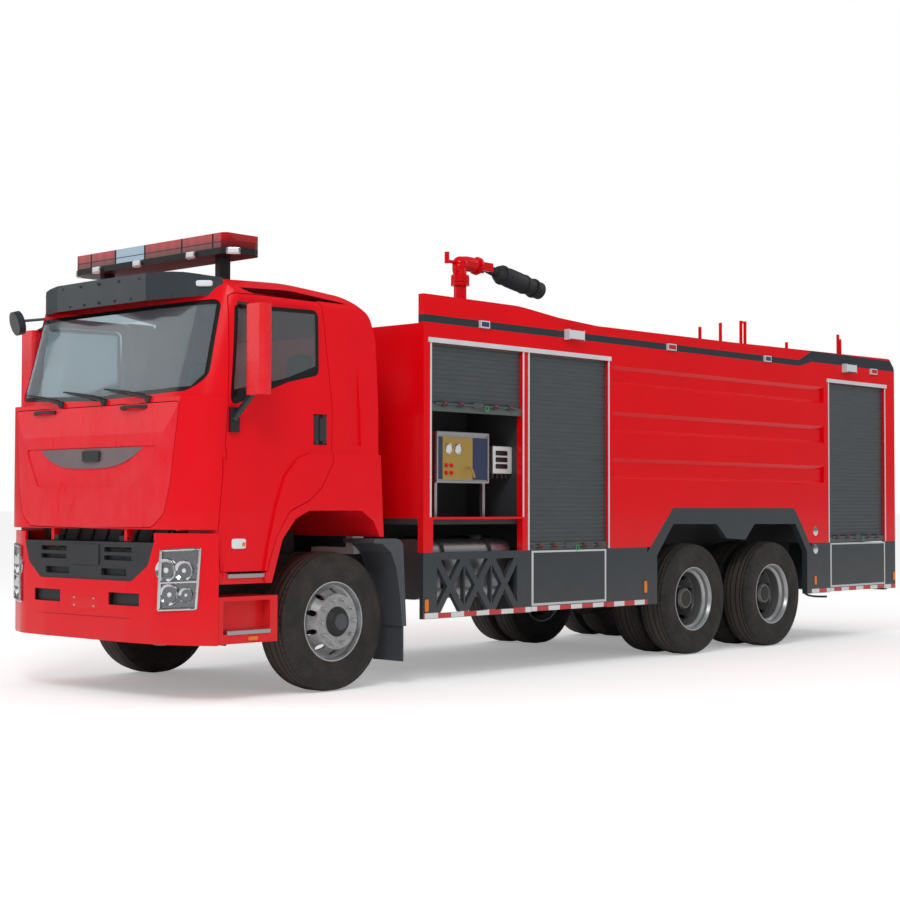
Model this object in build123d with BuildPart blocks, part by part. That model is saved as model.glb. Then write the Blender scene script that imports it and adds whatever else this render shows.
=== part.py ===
from build123d import *
from math import cos, radians, sin
import os

os.makedirs("parts", exist_ok=True)

# Foam fire truck, millimetres. X runs across with the driver's side positive, Y runs back from
# the bumper, Z is height above the ground. Stations are measured back from the front axle.
front_end = -1420
rear_end = 8500
front_axle_y = -(front_end + rear_end) / 2
gap = 6
# Running clearance of pins in their bores
fit = 0.3

# Running gear
axle_height = 522
tyre_radius = 522
tyre_half = 149
bead_radius = 287
wheelbase = 4600
tandem_spacing = 1370
front_wheel_x = 1032
rear_wheel_x = 1090
twin_spacing = 330
kingpin_x = 872
front_spindle_radius = 45
rear_spindle_radius = 60
rail_inner, rail_outer = 355, 435
rail_bottom, rail_top = 730, 1010

# Body
half_width = 1250
wall_inner = 1190
body_front, body_rear = 872, 8440
skirt_bottom, skirt_top = 500, 1020
skirt_inner = 1210
floor_bottom, floor_top = 1240, 1290
deck_bottom, deck_top = 2790, 2830
sill_top = 1300
header_bottom = 2680
flap_thickness = 30

# Cab
cab_half = 1225
bulge_half = 1245
cab_wall = 60
door_thickness = 55
door_inner_x = 1090
cab_floor = 1215
tilt_pivot = (-1368, 1145)
door_hinge = (1218, -1112)
hinge_pin, hinge_knuckle, hinge_clear = 6, 12, 17
panel_hinge = (-1349, 2115.2)
flap_hinge = (1242, 515)


def corners(sketch, points):
    # Outline through (u, v) corners; a third number rounds that corner
    Polygon(*[(p[0], p[1]) for p in points], align=None)
    for p in points:
        if len(p) == 3:
            fillet(sketch.vertices().sort_by_distance((p[0], p[1], 0))[0], radius=p[2])


def side_prism(points, x, mode=Mode.ADD, inset=0):
    # Outline in station and height, pushed across the truck
    moved = [(p[0] + front_axle_y, *p[1:]) for p in points]
    with BuildSketch(Plane.YZ.offset(min(x))) as outline:
        corners(outline, moved)
        if inset:
            offset(amount=-inset, kind=Kind.INTERSECTION, mode=Mode.REPLACE)
    extrude(outline.sketch, amount=abs(x[1] - x[0]), mode=mode)


def front_prism(points, stations, mode=Mode.ADD, inset=0):
    # Outline seen from the front, pushed along the truck
    back = Plane(origin=(0, stations[1] + front_axle_y, 0), x_dir=(1, 0, 0), z_dir=(0, -1, 0))
    with BuildSketch(back) as outline:
        corners(outline, points)
        if inset:
            offset(amount=-inset, kind=Kind.INTERSECTION, mode=Mode.REPLACE)
    extrude(outline.sketch, amount=stations[1] - stations[0], mode=mode)


def plan_prism(points, z, mode=Mode.ADD, inset=0):
    # Outline seen from above, pushed upwards
    moved = [(p[0], p[1] + front_axle_y, *p[2:]) for p in points]
    with BuildSketch(Plane.XY.offset(z[0])) as outline:
        corners(outline, moved)
        if inset:
            offset(amount=-inset, kind=Kind.INTERSECTION, mode=Mode.REPLACE)
    extrude(outline.sketch, amount=z[1] - z[0], mode=mode)


def block(x, stations, z, mode=Mode.ADD):
    middle = ((x[0] + x[1]) / 2, (stations[0] + stations[1]) / 2 + front_axle_y, (z[0] + z[1]) / 2)
    with Locations(middle):
        Box(abs(x[1] - x[0]), abs(stations[1] - stations[0]), abs(z[1] - z[0]), mode=mode)


def rod(start, end, radius, mode=Mode.ADD):
    foot = Vector(start[0], start[1] + front_axle_y, start[2])
    along = Vector(end[0], end[1] + front_axle_y, end[2]) - foot
    with BuildSketch(Plane(origin=foot, z_dir=along)) as disc:
        Circle(radius)
    extrude(disc.sketch, amount=along.length, mode=mode)


def turned(x, station, profile, side, mode=Mode.ADD):
    # Profile of (outboard offset, radius) turned about an axle line
    middle = Vector(x * side, station + front_axle_y, axle_height)
    with BuildSketch(Plane(origin=middle, x_dir=(1, 0, 0), z_dir=(0, -1, 0))) as half:
        Polygon(*[(u * side, r) for u, r in profile], align=None)
    revolve(half.sketch, axis=Axis(middle, (1, 0, 0)), mode=mode)


def both(points):
    # An outline given for one half, completed by its mirror image
    return points + [(-p[0], *p[1:]) for p in reversed(points)]


def hinge_rod(side, low, high, radius, mode=Mode.ADD):
    # A round form on a door's hinge line
    rod((door_hinge[0] * side, door_hinge[1], low), (door_hinge[0] * side, door_hinge[1], high),
        radius, mode)


def save(piece, label):
    piece.part.label = label
    export_step(piece.part, f"parts/{label}.step")


sides = (("left", 1), ("right", -1))

# Cab form: three outlines crossed with each other, also used inset for the inside and the glass
cab_side = [(-1172, 834), (-1172, 1215), (-1400, 1215), (-1402, 1500), (-1380, 1900),
            (-1345, 2150), (-1150, 2850), (-1024, 2999, 60), (-410, 3031, 900), (130, 2971, 300),
            (341, 2832, 150), (392, 2650, 150), (398, 1785), (430, 1300), (440, 1151),
            (400, 1151), (330, 1270, 90), (200, 1350, 120), (-330, 1350, 160),
            (-463, 1290, 120), (-590, 1142, 120), (-690, 834)]
# The two outlines below are drawn past the middle and mirrored after the cut at the middle
past_middle = -300
windscreen_lean = 0.279
lean_start = 2150
cab_plan = [(past_middle, -1402), (500, -1402), (900, -1380, 900), (cab_half, -1290, 300),
            (cab_half, 470), (past_middle, 470)]
cab_front = [(past_middle, 800), (cab_half, 800), (cab_half, 2150, 800),
             (cab_half - 45, 2900, 110), (1020, 3036, 160), (past_middle, 3036)]


def cab_volume(inset):
    with BuildPart() as volume:
        side_prism(cab_side, (0, cab_half), inset=inset)
        plan_prism(cab_plan, (800, 3100), mode=Mode.INTERSECT, inset=inset)
        # The same corner follows the windscreen as it leans back
        with BuildSketch(Plane.XY.offset(lean_start)) as corner:
            corners(corner, [(p[0], p[1] + front_axle_y + 57, *p[2:]) for p in cab_plan])
            if inset:
                offset(amount=-inset, kind=Kind.INTERSECTION, mode=Mode.REPLACE)
        with BuildPart(mode=Mode.PRIVATE) as leaning:
            extrude(corner.sketch, amount=950, dir=(0, windscreen_lean, 1))
            plan_prism([(past_middle, -1500), (cab_half, -1500), (cab_half, 560), (past_middle, 560)],
                       (800, lean_start), inset=0)
        add(leaning.part, mode=Mode.INTERSECT)
        front_prism(cab_front, (-1500, 500), mode=Mode.INTERSECT, inset=inset)
        mirror(about=Plane.YZ)
    return volume.part


cab_skin = cab_volume(0)
cab_void = cab_volume(cab_wall)

# Bulge over the front wheel, standing out from the door and the cab side
bulge = [(-760, 900), (-720, 1100), (-640, 1400), (-560, 1600), (-440, 1730, 120),
         (-300, 1775, 200), (405, 1775), (430, 1300), (440, 1151), (400, 1151), (330, 1270),
         (200, 1350), (-330, 1350), (-463, 1290), (-590, 1142), (-690, 834), (-745, 834)]

door = [(-1135, 920, 10), (-735, 920), (-650, 1160), (-520, 1350, 120), (-330, 1425, 100),
        (-210, 1520, 100), (-95, 1700, 60), (-89, 2104), (-161, 2916, 90), (-1017, 2890, 40),
        (-1160, 1130)]
door_window = [(-1068, 2081, 40), (-519, 2283, 150), (-215, 2350, 50), (-225, 2830, 60),
               (-990, 2812, 30)]
front_panel_outline = both([(1010, 2112, 30), (930, 1520), (880, 1330, 120), (760, 1232, 120),
                            (0, 1220)])
windscreen_outline = [(1105, 2850, 60), (1130, 2300, 120), (1040, 2190, 200), (0, 2152),
                      (-1040, 2190, 200), (-1130, 2300, 120), (-1105, 2850, 60)]
rear_window = [(-650, 2230, 60), (650, 2230, 60), (650, 2720, 60), (-650, 2720, 60)]

# Recess for the front panel, a thin firewall stays behind it
firewall = cab_volume(cab_wall - 12)
with BuildPart() as panel_pocket:
    front_prism(front_panel_outline, (-1500, -1200), inset=-gap)
    add(firewall, mode=Mode.SUBTRACT)

with BuildPart() as cab_shell:
    add(cab_skin)
    for name, side in sides:
        side_prism(bulge, (cab_half * side, bulge_half * side))
    add(cab_void, mode=Mode.SUBTRACT)
    # Step wells hang from the floor on both sides, the engine sits between them
    block((-960, 960), (-1172, -520), (800, cab_floor), mode=Mode.SUBTRACT)
    add(panel_pocket.part, mode=Mode.SUBTRACT)
    block((-960, 960), (-1340, -500), (cab_floor, cab_floor + cab_wall))
    for name, side in sides:
        block((900 * side, 960 * side), (-1172, -700), (834, cab_floor + cab_wall))
        # Room for the door's front edge, which swings inwards as it opens
        side_prism(door, ((door_inner_x - 25) * side, 1260 * side), mode=Mode.SUBTRACT,
                   inset=-gap)
        # Shelf of the upper step under the door
        block((1090 * side, 1260 * side), (-1085, -745), (878, 914 + gap), mode=Mode.SUBTRACT)
        # Upright groove in the rear corner
        side_prism([(110, 1840), (215, 1840), (165, 2840), (120, 2840)],
                   ((cab_half - 18) * side, 1260 * side), mode=Mode.SUBTRACT)
        # Tilt arms under the floor
        side_prism([(-1386, cab_floor), (-1386, 1128), (-1348, 1128), (-1320, cab_floor)],
                   (437 * side, 470 * side))
        rod((430 * side, *tilt_pivot), (475 * side, *tilt_pivot), 12 + fit, mode=Mode.SUBTRACT)
        # Hinge knuckles on the sill and the front post, each with its pin
        hinge_rod(side, 1640, 1713, hinge_clear, Mode.SUBTRACT)
        for z0, z1, pin_end in ((872, 915, 962), (1716, 1780, 1660)):
            hinge_rod(side, z0, z1, hinge_knuckle)
            hinge_rod(side, min(z0, pin_end), max(z0, pin_end), hinge_pin)
        # Pin of the front panel along its top edge
        rod((400 * side, *panel_hinge), (560 * side, *panel_hinge), gap / 2)
    front_prism(windscreen_outline, (-1500, -900), mode=Mode.SUBTRACT)
    front_prism(rear_window, (300, 480), mode=Mode.SUBTRACT)
save(cab_shell, "cab_shell")

# Glass sits a little inside the outer surface
glass_outer = cab_volume(10)
glass_inner = cab_volume(24)
with BuildPart() as cab_glass:
    front_prism(windscreen_outline, (-1500, -900))
    front_prism(rear_window, (300, 480))
    add(glass_outer, mode=Mode.INTERSECT)
    add(glass_inner, mode=Mode.SUBTRACT)
save(cab_glass, "cab_glass")

door_inner = cab_volume(door_thickness)
for name, side in sides:
    with BuildPart() as door_panel:
        side_prism(door, (door_inner_x * side, 1260 * side))
        add(cab_skin, mode=Mode.INTERSECT)
        side_prism(bulge, (cab_half * side, bulge_half * side))
        side_prism(door, (door_inner_x * side, 1260 * side), mode=Mode.INTERSECT)
        add(door_inner, mode=Mode.SUBTRACT)
        side_prism(door_window, (1000 * side, 1260 * side), mode=Mode.SUBTRACT)
        # Pull handle in its recess
        block((1212 * side, 1260 * side), (-272, -146), (1837, 2059), mode=Mode.SUBTRACT)
        block((1212 * side, 1236 * side), (-225, -193), (1837, 2059))
        hinge_rod(side, 1712, 1785, hinge_clear, Mode.SUBTRACT)
        for z0, z1, bore_low, bore_high in ((921, 972, 900, 972), (1648, 1708, 1648, 1720)):
            hinge_rod(side, z0, z1, hinge_knuckle)
            hinge_rod(side, bore_low, bore_high, hinge_pin + fit, Mode.SUBTRACT)
    save(door_panel, f"door_{name}")

    with BuildPart() as door_glass:
        side_prism(door_window, (1000 * side, 1260 * side))
        add(glass_outer, mode=Mode.INTERSECT)
        add(glass_inner, mode=Mode.SUBTRACT)
    save(door_glass, f"door_glass_{name}")

    # Mirror on its two arms
    with BuildPart() as mirror_arm:
        block((1305 * side, 1495 * side), (-1010, -905), (2160, 2800))
        fillet(mirror_arm.edges().filter_by(Axis.Z), radius=35)
        rod((1235 * side, -1045, 1990), (1345 * side, -960, 2175), 24)
        block((1215 * side, 1250 * side), (-1080, -1000), (1900, 2075))
        rod((1060 * side, -970, 2850), (1360 * side, -955, 2790), 12)
        add(cab_skin, mode=Mode.SUBTRACT)
    save(mirror_arm, f"mirror_{name}")

panel_inner = cab_volume(40)
panel_face = cab_volume(10)
with BuildPart() as panel_insert:
    front_prism(both([(810, 1810, 20), (790, 1740), (650, 1520, 60)]), (-1500, -1300))
    add(panel_face, mode=Mode.SUBTRACT)
with BuildPart() as front_panel:
    front_prism(front_panel_outline, (-1500, -1200))
    add(cab_skin, mode=Mode.INTERSECT)
    add(panel_inner, mode=Mode.SUBTRACT)
    block((-1100, 1100), (-1355, -1190), (1200, 1262), mode=Mode.SUBTRACT)
    # Shallow recess with an air slot
    add(panel_insert.part, mode=Mode.SUBTRACT)
    block((-66, 147), (-1420, -1300), (1694, 1794), mode=Mode.SUBTRACT)
save(front_panel, "front_panel")

# Shield over the top of the windscreen, bowed like the screen, with the round front mirror
visor_plan = [(past_middle, -1318), (550, -1300), (870, -1190, 250), (1090, -1030), (1000, -950),
              (past_middle, -1000)]
visor_side = [(-1420, 2850), (-1420, 3060), (-1230, 3060, 60), (-1024, 3005), (-980, 2890)]


def visor_volume(inset):
    with BuildPart() as volume:
        plan_prism(visor_plan, (2840, 3080), inset=inset)
        block((past_middle, 0), (-1500, -900), (2800, 3100), mode=Mode.SUBTRACT)
        mirror(about=Plane.YZ)
        side_prism(visor_side, (-1200, 1200), mode=Mode.INTERSECT, inset=inset)
    return volume.part


visor_skin = visor_volume(0)
visor_inside = visor_volume(14)
with BuildPart() as sun_visor:
    add(visor_skin)
    add(visor_inside, mode=Mode.SUBTRACT)
    # Open towards the road below
    with Locations((0, 0, -20)):
        add(visor_inside, mode=Mode.SUBTRACT)
    rod((-1000, -1035, 2868), (-1150, -1240, 2840), 11)
    rod((-1146, -1232, 2830), (-1158, -1284, 2815), 95)
    add(cab_skin, mode=Mode.SUBTRACT)
save(sun_visor, "sun_visor")

with BuildPart() as light_bar:
    plan_prism(both([(900, -880, 60), (995, -790, 40), (995, -650, 40), (930, -560, 60)]),
               (3215, 3370))
    front_prism(both([(918, 3380), (985, 3300), (1002, 3200)]), (-950, -500), mode=Mode.INTERSECT)
    for name, side in sides:
        block((685 * side, 740 * side), (-770, -670), (2960, 3215))
    add(cab_skin, mode=Mode.SUBTRACT)
save(light_bar, "light_bar")

with BuildPart() as dashboard:
    block((-1130, 1130), (-1380, -960), (1760, 2110))
    side_prism([(-1100, 2110), (-960, 2000), (-940, 2120)], (-1140, 1140), mode=Mode.SUBTRACT)
    add(cab_void, mode=Mode.INTERSECT)
    # Steering column and wheel on the driver's side
    rod((600, -1010, 1900), (600, -760, 2030), 32)
    with Locations(Location((600, front_axle_y - 750, 2035), (63, 0, 0))):
        Torus(205, 16)
        Box(380, 40, 16)
save(dashboard, "dashboard")

with BuildPart() as seats:
    for middle in (-620, 620):
        block((middle - 220, middle + 220), (-480, 0), (1410, 1560))
        block((middle - 260, middle + 260), (-560, -20), (1560, 1700))
        side_prism([(-60, 1700), (70, 1700), (150, 2380), (50, 2380)], (middle - 250, middle + 250))
        block((middle - 130, middle + 130), (70, 140), (2380, 2560))
save(seats, "seats")

# Chassis
bumper_back = -1180
bumper_plan = [(past_middle, -1420), (500, -1420), (850, -1395, 500), (1070, -1300, 200),
               (half_width, -1190, 40), (half_width, -1080), (past_middle, -1080)]
grille_outline = both([(800, 1122), (740, 960, 60), (565, 845, 60)])
headlamp_outline = [(845, 640, 25), (1125, 655, 25), (1150, 1095, 25), (862, 1080, 40)]


def bumper_volume(inset, z):
    with BuildPart() as volume:
        plan_prism(bumper_plan, z, inset=inset)
        block((past_middle, 0), (-1500, -1000), z, mode=Mode.SUBTRACT)
        block((0, half_width), (bumper_back, -1000), z, mode=Mode.SUBTRACT)
        mirror(about=Plane.YZ)
    return volume.part


bumper_skin = bumper_volume(0, (410, 1190))
bumper_inner = bumper_volume(45, (400, 1200))
with BuildPart() as bumper:
    add(bumper_skin)
    add(bumper_inner, mode=Mode.SUBTRACT)
    front_prism(grille_outline, (-1500, -1300), mode=Mode.SUBTRACT)
    front_prism(both([(790, 1300), (800, 1120)]), (-1500, -1300), mode=Mode.SUBTRACT)
    for name, side in sides:
        front_prism([(p[0] * side, *p[1:]) for p in headlamp_outline], (-1500, -1200),
                    mode=Mode.SUBTRACT)
        block((300 * side, 650 * side), (-1500, -1300), (670, 760), mode=Mode.SUBTRACT)
    # Seam across the lower edge
    block((-1300, 1300), (-1500, -1412), (577, 585), mode=Mode.SUBTRACT)
save(bumper, "bumper")

with BuildPart() as lower_grille:
    front_prism(grille_outline, (-1412, -1380))
    add(bumper_skin, mode=Mode.INTERSECT)
    for name, side in sides:
        for z in (990, 1050):
            block((235 * side, 560 * side), (-1500, -1300), (z, z + 34), mode=Mode.SUBTRACT)
        block((200 * side, 500 * side), (-1500, -1300), (880, 930), mode=Mode.SUBTRACT)
    block((-175, 175), (-1420, -1400), (953, 1100))
save(lower_grille, "lower_grille")

lamp_back = bumper_volume(60, (400, 1200))
with BuildPart() as headlamps:
    for name, side in sides:
        front_prism([(p[0] * side, *p[1:]) for p in headlamp_outline], (-1500, -1200))
    add(bumper_skin, mode=Mode.INTERSECT)
    add(lamp_back, mode=Mode.SUBTRACT)
save(headlamps, "headlamps")

cross_members = (-1335, 1400, 2800, 4000, 5285, 6600, 8200)
with BuildPart() as frame_rails:
    for name, side in sides:
        block((rail_inner * side, rail_outer * side), (-1375, 8420), (rail_bottom, rail_top))
        block((rail_inner * side, (rail_outer - 12) * side), (-1375, 8420),
              (rail_bottom + 12, rail_top - 12), mode=Mode.SUBTRACT)
        # Tilt bracket and pin
        side_prism([(-1375, rail_top), (-1375, 1122), (-1386, 1128), (-1386, 1165),
                    (-1345, 1165), (-1300, rail_top)], (380 * side, 430 * side))
        rod((430 * side, *tilt_pivot), (468 * side, *tilt_pivot), 12)
        # Brackets of the trunnion
        block((rail_outer * side, 520 * side), (5190, 5380), (790, 900))
    for station in cross_members:
        block((-(rail_outer - 12), rail_outer - 12), (station - 35, station + 35), (860, 998))
    # Rear under-run bar and tow jaw
    block((-1150, 1150), (8360, 8430), (480, 590))
    for name, side in sides:
        block((rail_inner * side, rail_outer * side), (8360, 8420), (590, rail_bottom))
    block((-90, 90), (8235, 8500), (850, 940))
    block((-95, 95), (8400, 8510), (880, 910), mode=Mode.SUBTRACT)
    rod((0, 8472, 840), (0, 8472, 950), 20, mode=Mode.SUBTRACT)
save(frame_rails, "frame_rails")

with BuildPart() as axles:
    block((-600, 600), (-45, 45), (385, 475))
    for name, side in sides:
        front_prism([(560 * side, 385), (660 * side, 385), (812 * side, 470), (kingpin_x * side, 470),
                     (kingpin_x * side, 570), (780 * side, 570), (560 * side, 475)], (-40, 40))
        rod((kingpin_x * side, 0, 470), (kingpin_x * side, 0, 570), 48)
        rod((kingpin_x * side, 0, 460), (kingpin_x * side, 0, 580), 21, mode=Mode.SUBTRACT)
    for station in (wheelbase, wheelbase + tandem_spacing):
        rod((-600, station, axle_height), (600, station, axle_height), 75)
        rod((-1095, station, axle_height), (1095, station, axle_height), rear_spindle_radius)
        rod((0, station - 170, axle_height), (0, station + 170, axle_height), 190)
        for name, side in sides:
            block((440 * side, 520 * side), (station - 70, station + 70), (axle_height, 610))
save(axles, "axles")

with BuildPart() as leaf_springs:
    for name, side in sides:
        side_prism([(-760, 700), (-320, 520), (-80, 475), (80, 475), (320, 520), (860, 700),
                    (860, 730), (790, 730), (300, 580), (0, 545), (-300, 580), (-690, 730),
                    (-760, 730)], (365 * side, 440 * side))
        side_prism([(4490, 610), (4710, 610), (5120, 705), (5450, 705), (5860, 610),
                    (6080, 610), (6080, 655), (5890, 665), (5470, 790), (5100, 790),
                    (4680, 665), (4490, 655)], (440 * side, 520 * side))
save(leaf_springs, "leaf_springs")

with BuildPart() as engine_block:
    block((-320, 320), (-900, 350), (560, 1185))
    block((-220, 220), (350, 1250), (620, 1000))
    block((-(rail_outer - 12), rail_outer - 12), (-100, 60), (800, 880))
save(engine_block, "engine_block")

with BuildPart() as drive_shafts:
    rod((0, 1250, 760), (0, 1290, 760), 75)
    rod((0, 1275, 758), (0, wheelbase - 195, 562), 50)
    rod((0, wheelbase - 210, 560), (0, wheelbase - 170, 560), 75)
    rod((0, wheelbase + 170, 560), (0, wheelbase + tandem_spacing - 170, 560), 50)
save(drive_shafts, "drive_shafts")

with BuildPart() as radiator:
    block((-345, 345), (-1200, -1120), (620, 1190))
    block((-600, 600), (-1200, -1120), (rail_top, 1190))
save(radiator, "radiator")

with BuildPart() as lower_steps:
    for name, side in sides:
        block((900 * side, 1240 * side), (-1172, -630), (416, 745))
        block((1160 * side, 1250 * side), (-1130, -700), (485, 715), mode=Mode.SUBTRACT)
        block((rail_outer * side, 900 * side), (-1110, -1010), (740, 745 + 60))
        block((860 * side, 960 * side), (-1110, -1010), (700, 745))
save(lower_steps, "lower_steps")

with BuildPart() as front_mudguards:
    for name, side in sides:
        side_prism([(346, 1105), (346, 1135), (590, 1135, 60), (662, 1110, 60), (701, 457),
                    (655, 457), (628, 700), (592, 900), (530, 1030), (440, 1095)],
                   (890 * side, 1235 * side))
        block((900 * side, 1225 * side), (668, 680), (185, 457))
        rod((rail_outer * side, 650, 850), (900 * side, 650, 850), 22)
save(front_mudguards, "front_mudguards")

with BuildPart() as fuel_tank:
    side_prism([(1000, 640), (2050, 640), (2050, 1120), (1000, 1120)], (600, 1130))
    fillet(fuel_tank.edges().filter_by(Axis.Y), radius=110)
    rod((1000, 1760, 1100), (1000, 1760, 1150), 45)
    for station in (1250, 1780):
        block((rail_outer, 640), (station - 30, station + 30), (760, 860))
save(fuel_tank, "fuel_tank")

# Superstructure. One row per shutter: front station, rear station, lowest and highest point
shutter_openings = ((960, 2071, sill_top, header_bottom), (2156, 3240, skirt_top, header_bottom),
                    (7030, 8212, skirt_top, header_bottom + 20))
tank_window = (984, 2072)
arch_outer = [(3822, skirt_bottom), (3822, 971), (4143, 1294), (4225, 1380), (6335, 1380),
              (6417, 1294), (6675, 971), (6675, skirt_bottom)]
arch_inner = [(3973, skirt_bottom), (3973, 943), (4228, 1228), (4946, 1224), (5114, 1086),
              (5441, 1070), (5601, 1221), (6364, 1217), (6586, 931), (6586, skirt_bottom)]
side_outline = [(body_front, skirt_top), (body_front, 3060), (2030, 3060, 1500),
                (2554, 3006, 1500), (3085, 2978), (5200, 2990), (8330, 3030, 60),
                (body_rear, 2930, 80), (body_rear, skirt_top)]
# Lower and upper edge of each long recess
ribs = ((1645, 1815), (2060, 2230), (2480, 2640))

with BuildPart() as body_sides:
    for name, side in sides:
        side_prism(side_outline, (wall_inner * side, half_width * side))
        for y0, y1, z0, z1 in shutter_openings:
            block((1100 * side, 1300 * side), (y0, y1), (z0, z1), mode=Mode.SUBTRACT)
        block((1100 * side, 1300 * side), tank_window, (skirt_top, sill_top - 18),
              mode=Mode.SUBTRACT)
        side_prism(arch_outer, (1100 * side, 1300 * side), mode=Mode.SUBTRACT)
        for z0, z1 in ribs:
            front_prism([(1260 * side, z0 - 16), (1260 * side, z1 + 16), (1222 * side, z1 - 30),
                         (1222 * side, z0 + 22)], (3310, 6930), mode=Mode.SUBTRACT)
save(body_sides, "body_sides")

with BuildPart() as body_ends:
    block((-wall_inner, wall_inner), (body_front, 912), (floor_top, deck_top))
    block((-wall_inner, wall_inner), (8400, body_rear), (skirt_top, 2940))
    block((-600, 600), (8300, 8500), (1100, 2500), mode=Mode.SUBTRACT)
save(body_ends, "body_ends")

with BuildPart() as body_frame:
    for name, side in sides:
        block((rail_inner * side, rail_outer * side), (950, 8380), (rail_top, floor_bottom))
    block((-wall_inner, wall_inner), (body_front, 8400), (floor_bottom, floor_top))
    for y0, y1 in ((2092, 2132), (3250, 3290), (6950, 6990)):
        block((-wall_inner, wall_inner), (y0, y1), (floor_top, deck_bottom))
    for name, side in sides:
        block((580 * side, 600 * side), (912, 2092), (floor_top, deck_bottom))
save(body_frame, "body_frame")

with BuildPart() as roof_deck:
    block((-wall_inner, wall_inner), (912, 8400), (deck_bottom, deck_top))
save(roof_deck, "roof_deck")

# Panels below the red body: front station, rear station
skirt_spans = ((body_front, 2184), (3219, 3822), (6675, 7044), (8218, body_rear))
flap_spans = ((2190, 3213), (7050, 8212))
bays = 3
bay_start, bay_end, bay_bottom, bay_top = 1023, 2009, 540, 960
with BuildPart() as skirts:
    for name, side in sides:
        for y0, y1 in skirt_spans:
            block((skirt_inner * side, half_width * side), (y0, y1), (skirt_bottom, skirt_top))
        # Hinge pins of the flaps
        for y0, y1 in flap_spans:
            for end, inward in ((y0 - gap, 1), (y1 + gap, -1)):
                rod((flap_hinge[0] * side, end, flap_hinge[1]),
                    (flap_hinge[0] * side, end + 30 * inward, flap_hinge[1]), 5)
        # Crossed bars left between triangular cut-outs
        step = (bay_end - bay_start) / bays
        middle = (bay_bottom + bay_top) / 2
        for bay in range(bays):
            a = bay_start + bay * step
            b = a + step
            c = (a + b) / 2
            for triangle in ([(a + 45, bay_top), (b - 45, bay_top), (c, middle + 45)],
                             [(a + 45, bay_bottom), (b - 45, bay_bottom), (c, middle - 45)],
                             [(a + 8, bay_top - 50), (a + 8, bay_bottom + 50), (c - 38, middle)],
                             [(b - 8, bay_top - 50), (b - 8, bay_bottom + 50), (c + 38, middle)]):
                side_prism(triangle, (1150 * side, 1300 * side), mode=Mode.SUBTRACT)
save(skirts, "skirts")

with BuildPart() as arch_trims:
    for name, side in sides:
        side_prism(arch_outer, (wall_inner * side, half_width * side))
        side_prism(arch_inner, (1100 * side, 1300 * side), mode=Mode.SUBTRACT)
save(arch_trims, "arch_trims")

# Lockers behind the folding flaps
with BuildPart() as lower_lockers:
    for name, side in sides:
        for y0, y1 in flap_spans:
            block((760 * side, skirt_inner * side), (y0 - 20, y1 + 20), (520, 1010))
            block((780 * side, 1220 * side), (y0, y1), (540, 990), mode=Mode.SUBTRACT)
save(lower_lockers, "lower_lockers")

for name, side in sides:
    for place, (y0, y1) in zip(("mid", "rear"), flap_spans):
        with BuildPart() as flap:
            block(((half_width - flap_thickness) * side, half_width * side), (y0, y1), (507, 1014))
            for end, inward in ((y0, 1), (y1, -1)):
                rod((flap_hinge[0] * side, end - inward, flap_hinge[1]),
                    (flap_hinge[0] * side, end + 26 * inward, flap_hinge[1]), 5 + fit,
                    mode=Mode.SUBTRACT)
        save(flap, f"flap_{place}_{name}")

# Roller shutters: the left front one is half open, the others are down
with BuildPart() as shutters:
    for name, side in sides:
        for row, (y0, y1, z0, z1) in enumerate(shutter_openings):
            low = 2140 if row == 0 and side == 1 else z0
            block((1206 * side, 1222 * side), (y0, y1), (low + 60, z1))
            block((1200 * side, 1236 * side), (y0, y1), (low, low + 60))
    block((-600, 600), (8412, 8428), (1160, 2500))
    block((-600, 600), (8406, 8440), (1100, 1160))
save(shutters, "shutters")

with BuildPart() as shutter_frames:
    for name, side in sides:
        for y0, y1, z in ((922, 3276, header_bottom), (6990, 8250, header_bottom + 20)):
            block((half_width * side, 1262 * side), (y0, y1), (z, z + 38))
        for y0, y1, z0, z1 in shutter_openings:
            block((half_width * side, 1256 * side), (y0 - 15, y0), (z0, z1))
            block((half_width * side, 1256 * side), (y1, y1 + 15), (z0, z1))
save(shutter_frames, "shutter_frames")

with BuildPart() as pump_controls:
    block((1040, 1100), (1170, 1810), (1575, 1990))
    for station in (1190, 1770):
        block((1040, 1070), (station, station + 30), (floor_top, 1575))
    block((950, 1110), (1850, 2092), (1658, 1889))
save(pump_controls, "pump_controls")

# Lamps on the side stripe: station, length, height, depth
side_lamps = ((1576, 112, 60, 24), (2729, 210, 90, 60), (4189, 130, 60, 24),
              (5830, 112, 60, 24), (7412, 210, 90, 60), (7959, 130, 60, 24))
with BuildPart() as body_lamps:
    for name, side in sides:
        for station, length, height, depth in side_lamps:
            block((half_width * side, (half_width + depth) * side),
                  (station - length / 2, station + length / 2), (2868 - height / 2, 2868 + height / 2))
        block((900 * side, 1150 * side), (body_rear, 8470), (1040, 1150))
save(body_lamps, "body_lamps")

with BuildPart() as rear_ladder:
    for x in (-1060, -760):
        rod((x, 8484, 1165), (x, 8484, 3060), 16)
        for z in (1200, 2000, 2800):
            block((x - 12, x + 12), (body_rear, 8484), (z - 12, z + 12))
    for rung in range(7):
        rod((-1060, 8484, 1240 + rung * 280), (-760, 8484, 1240 + rung * 280), 12)
save(rear_ladder, "rear_ladder")

# Monitor on the roof
monitor_station = 2660
barrel_pivot = (3000, 3600)
barrel_end = (3813, 3457)
with BuildPart() as monitor_riser:
    rod((0, monitor_station, deck_top), (0, monitor_station, deck_top + 20), 120)
    rod((0, monitor_station, deck_top + 20), (0, monitor_station, 3400), 58)
    rod((0, monitor_station, 3400), (0, monitor_station, 3430), 85)
    rod((0, monitor_station, 3430), (0, monitor_station, 3470), 36)
save(monitor_riser, "monitor_riser")

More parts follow.
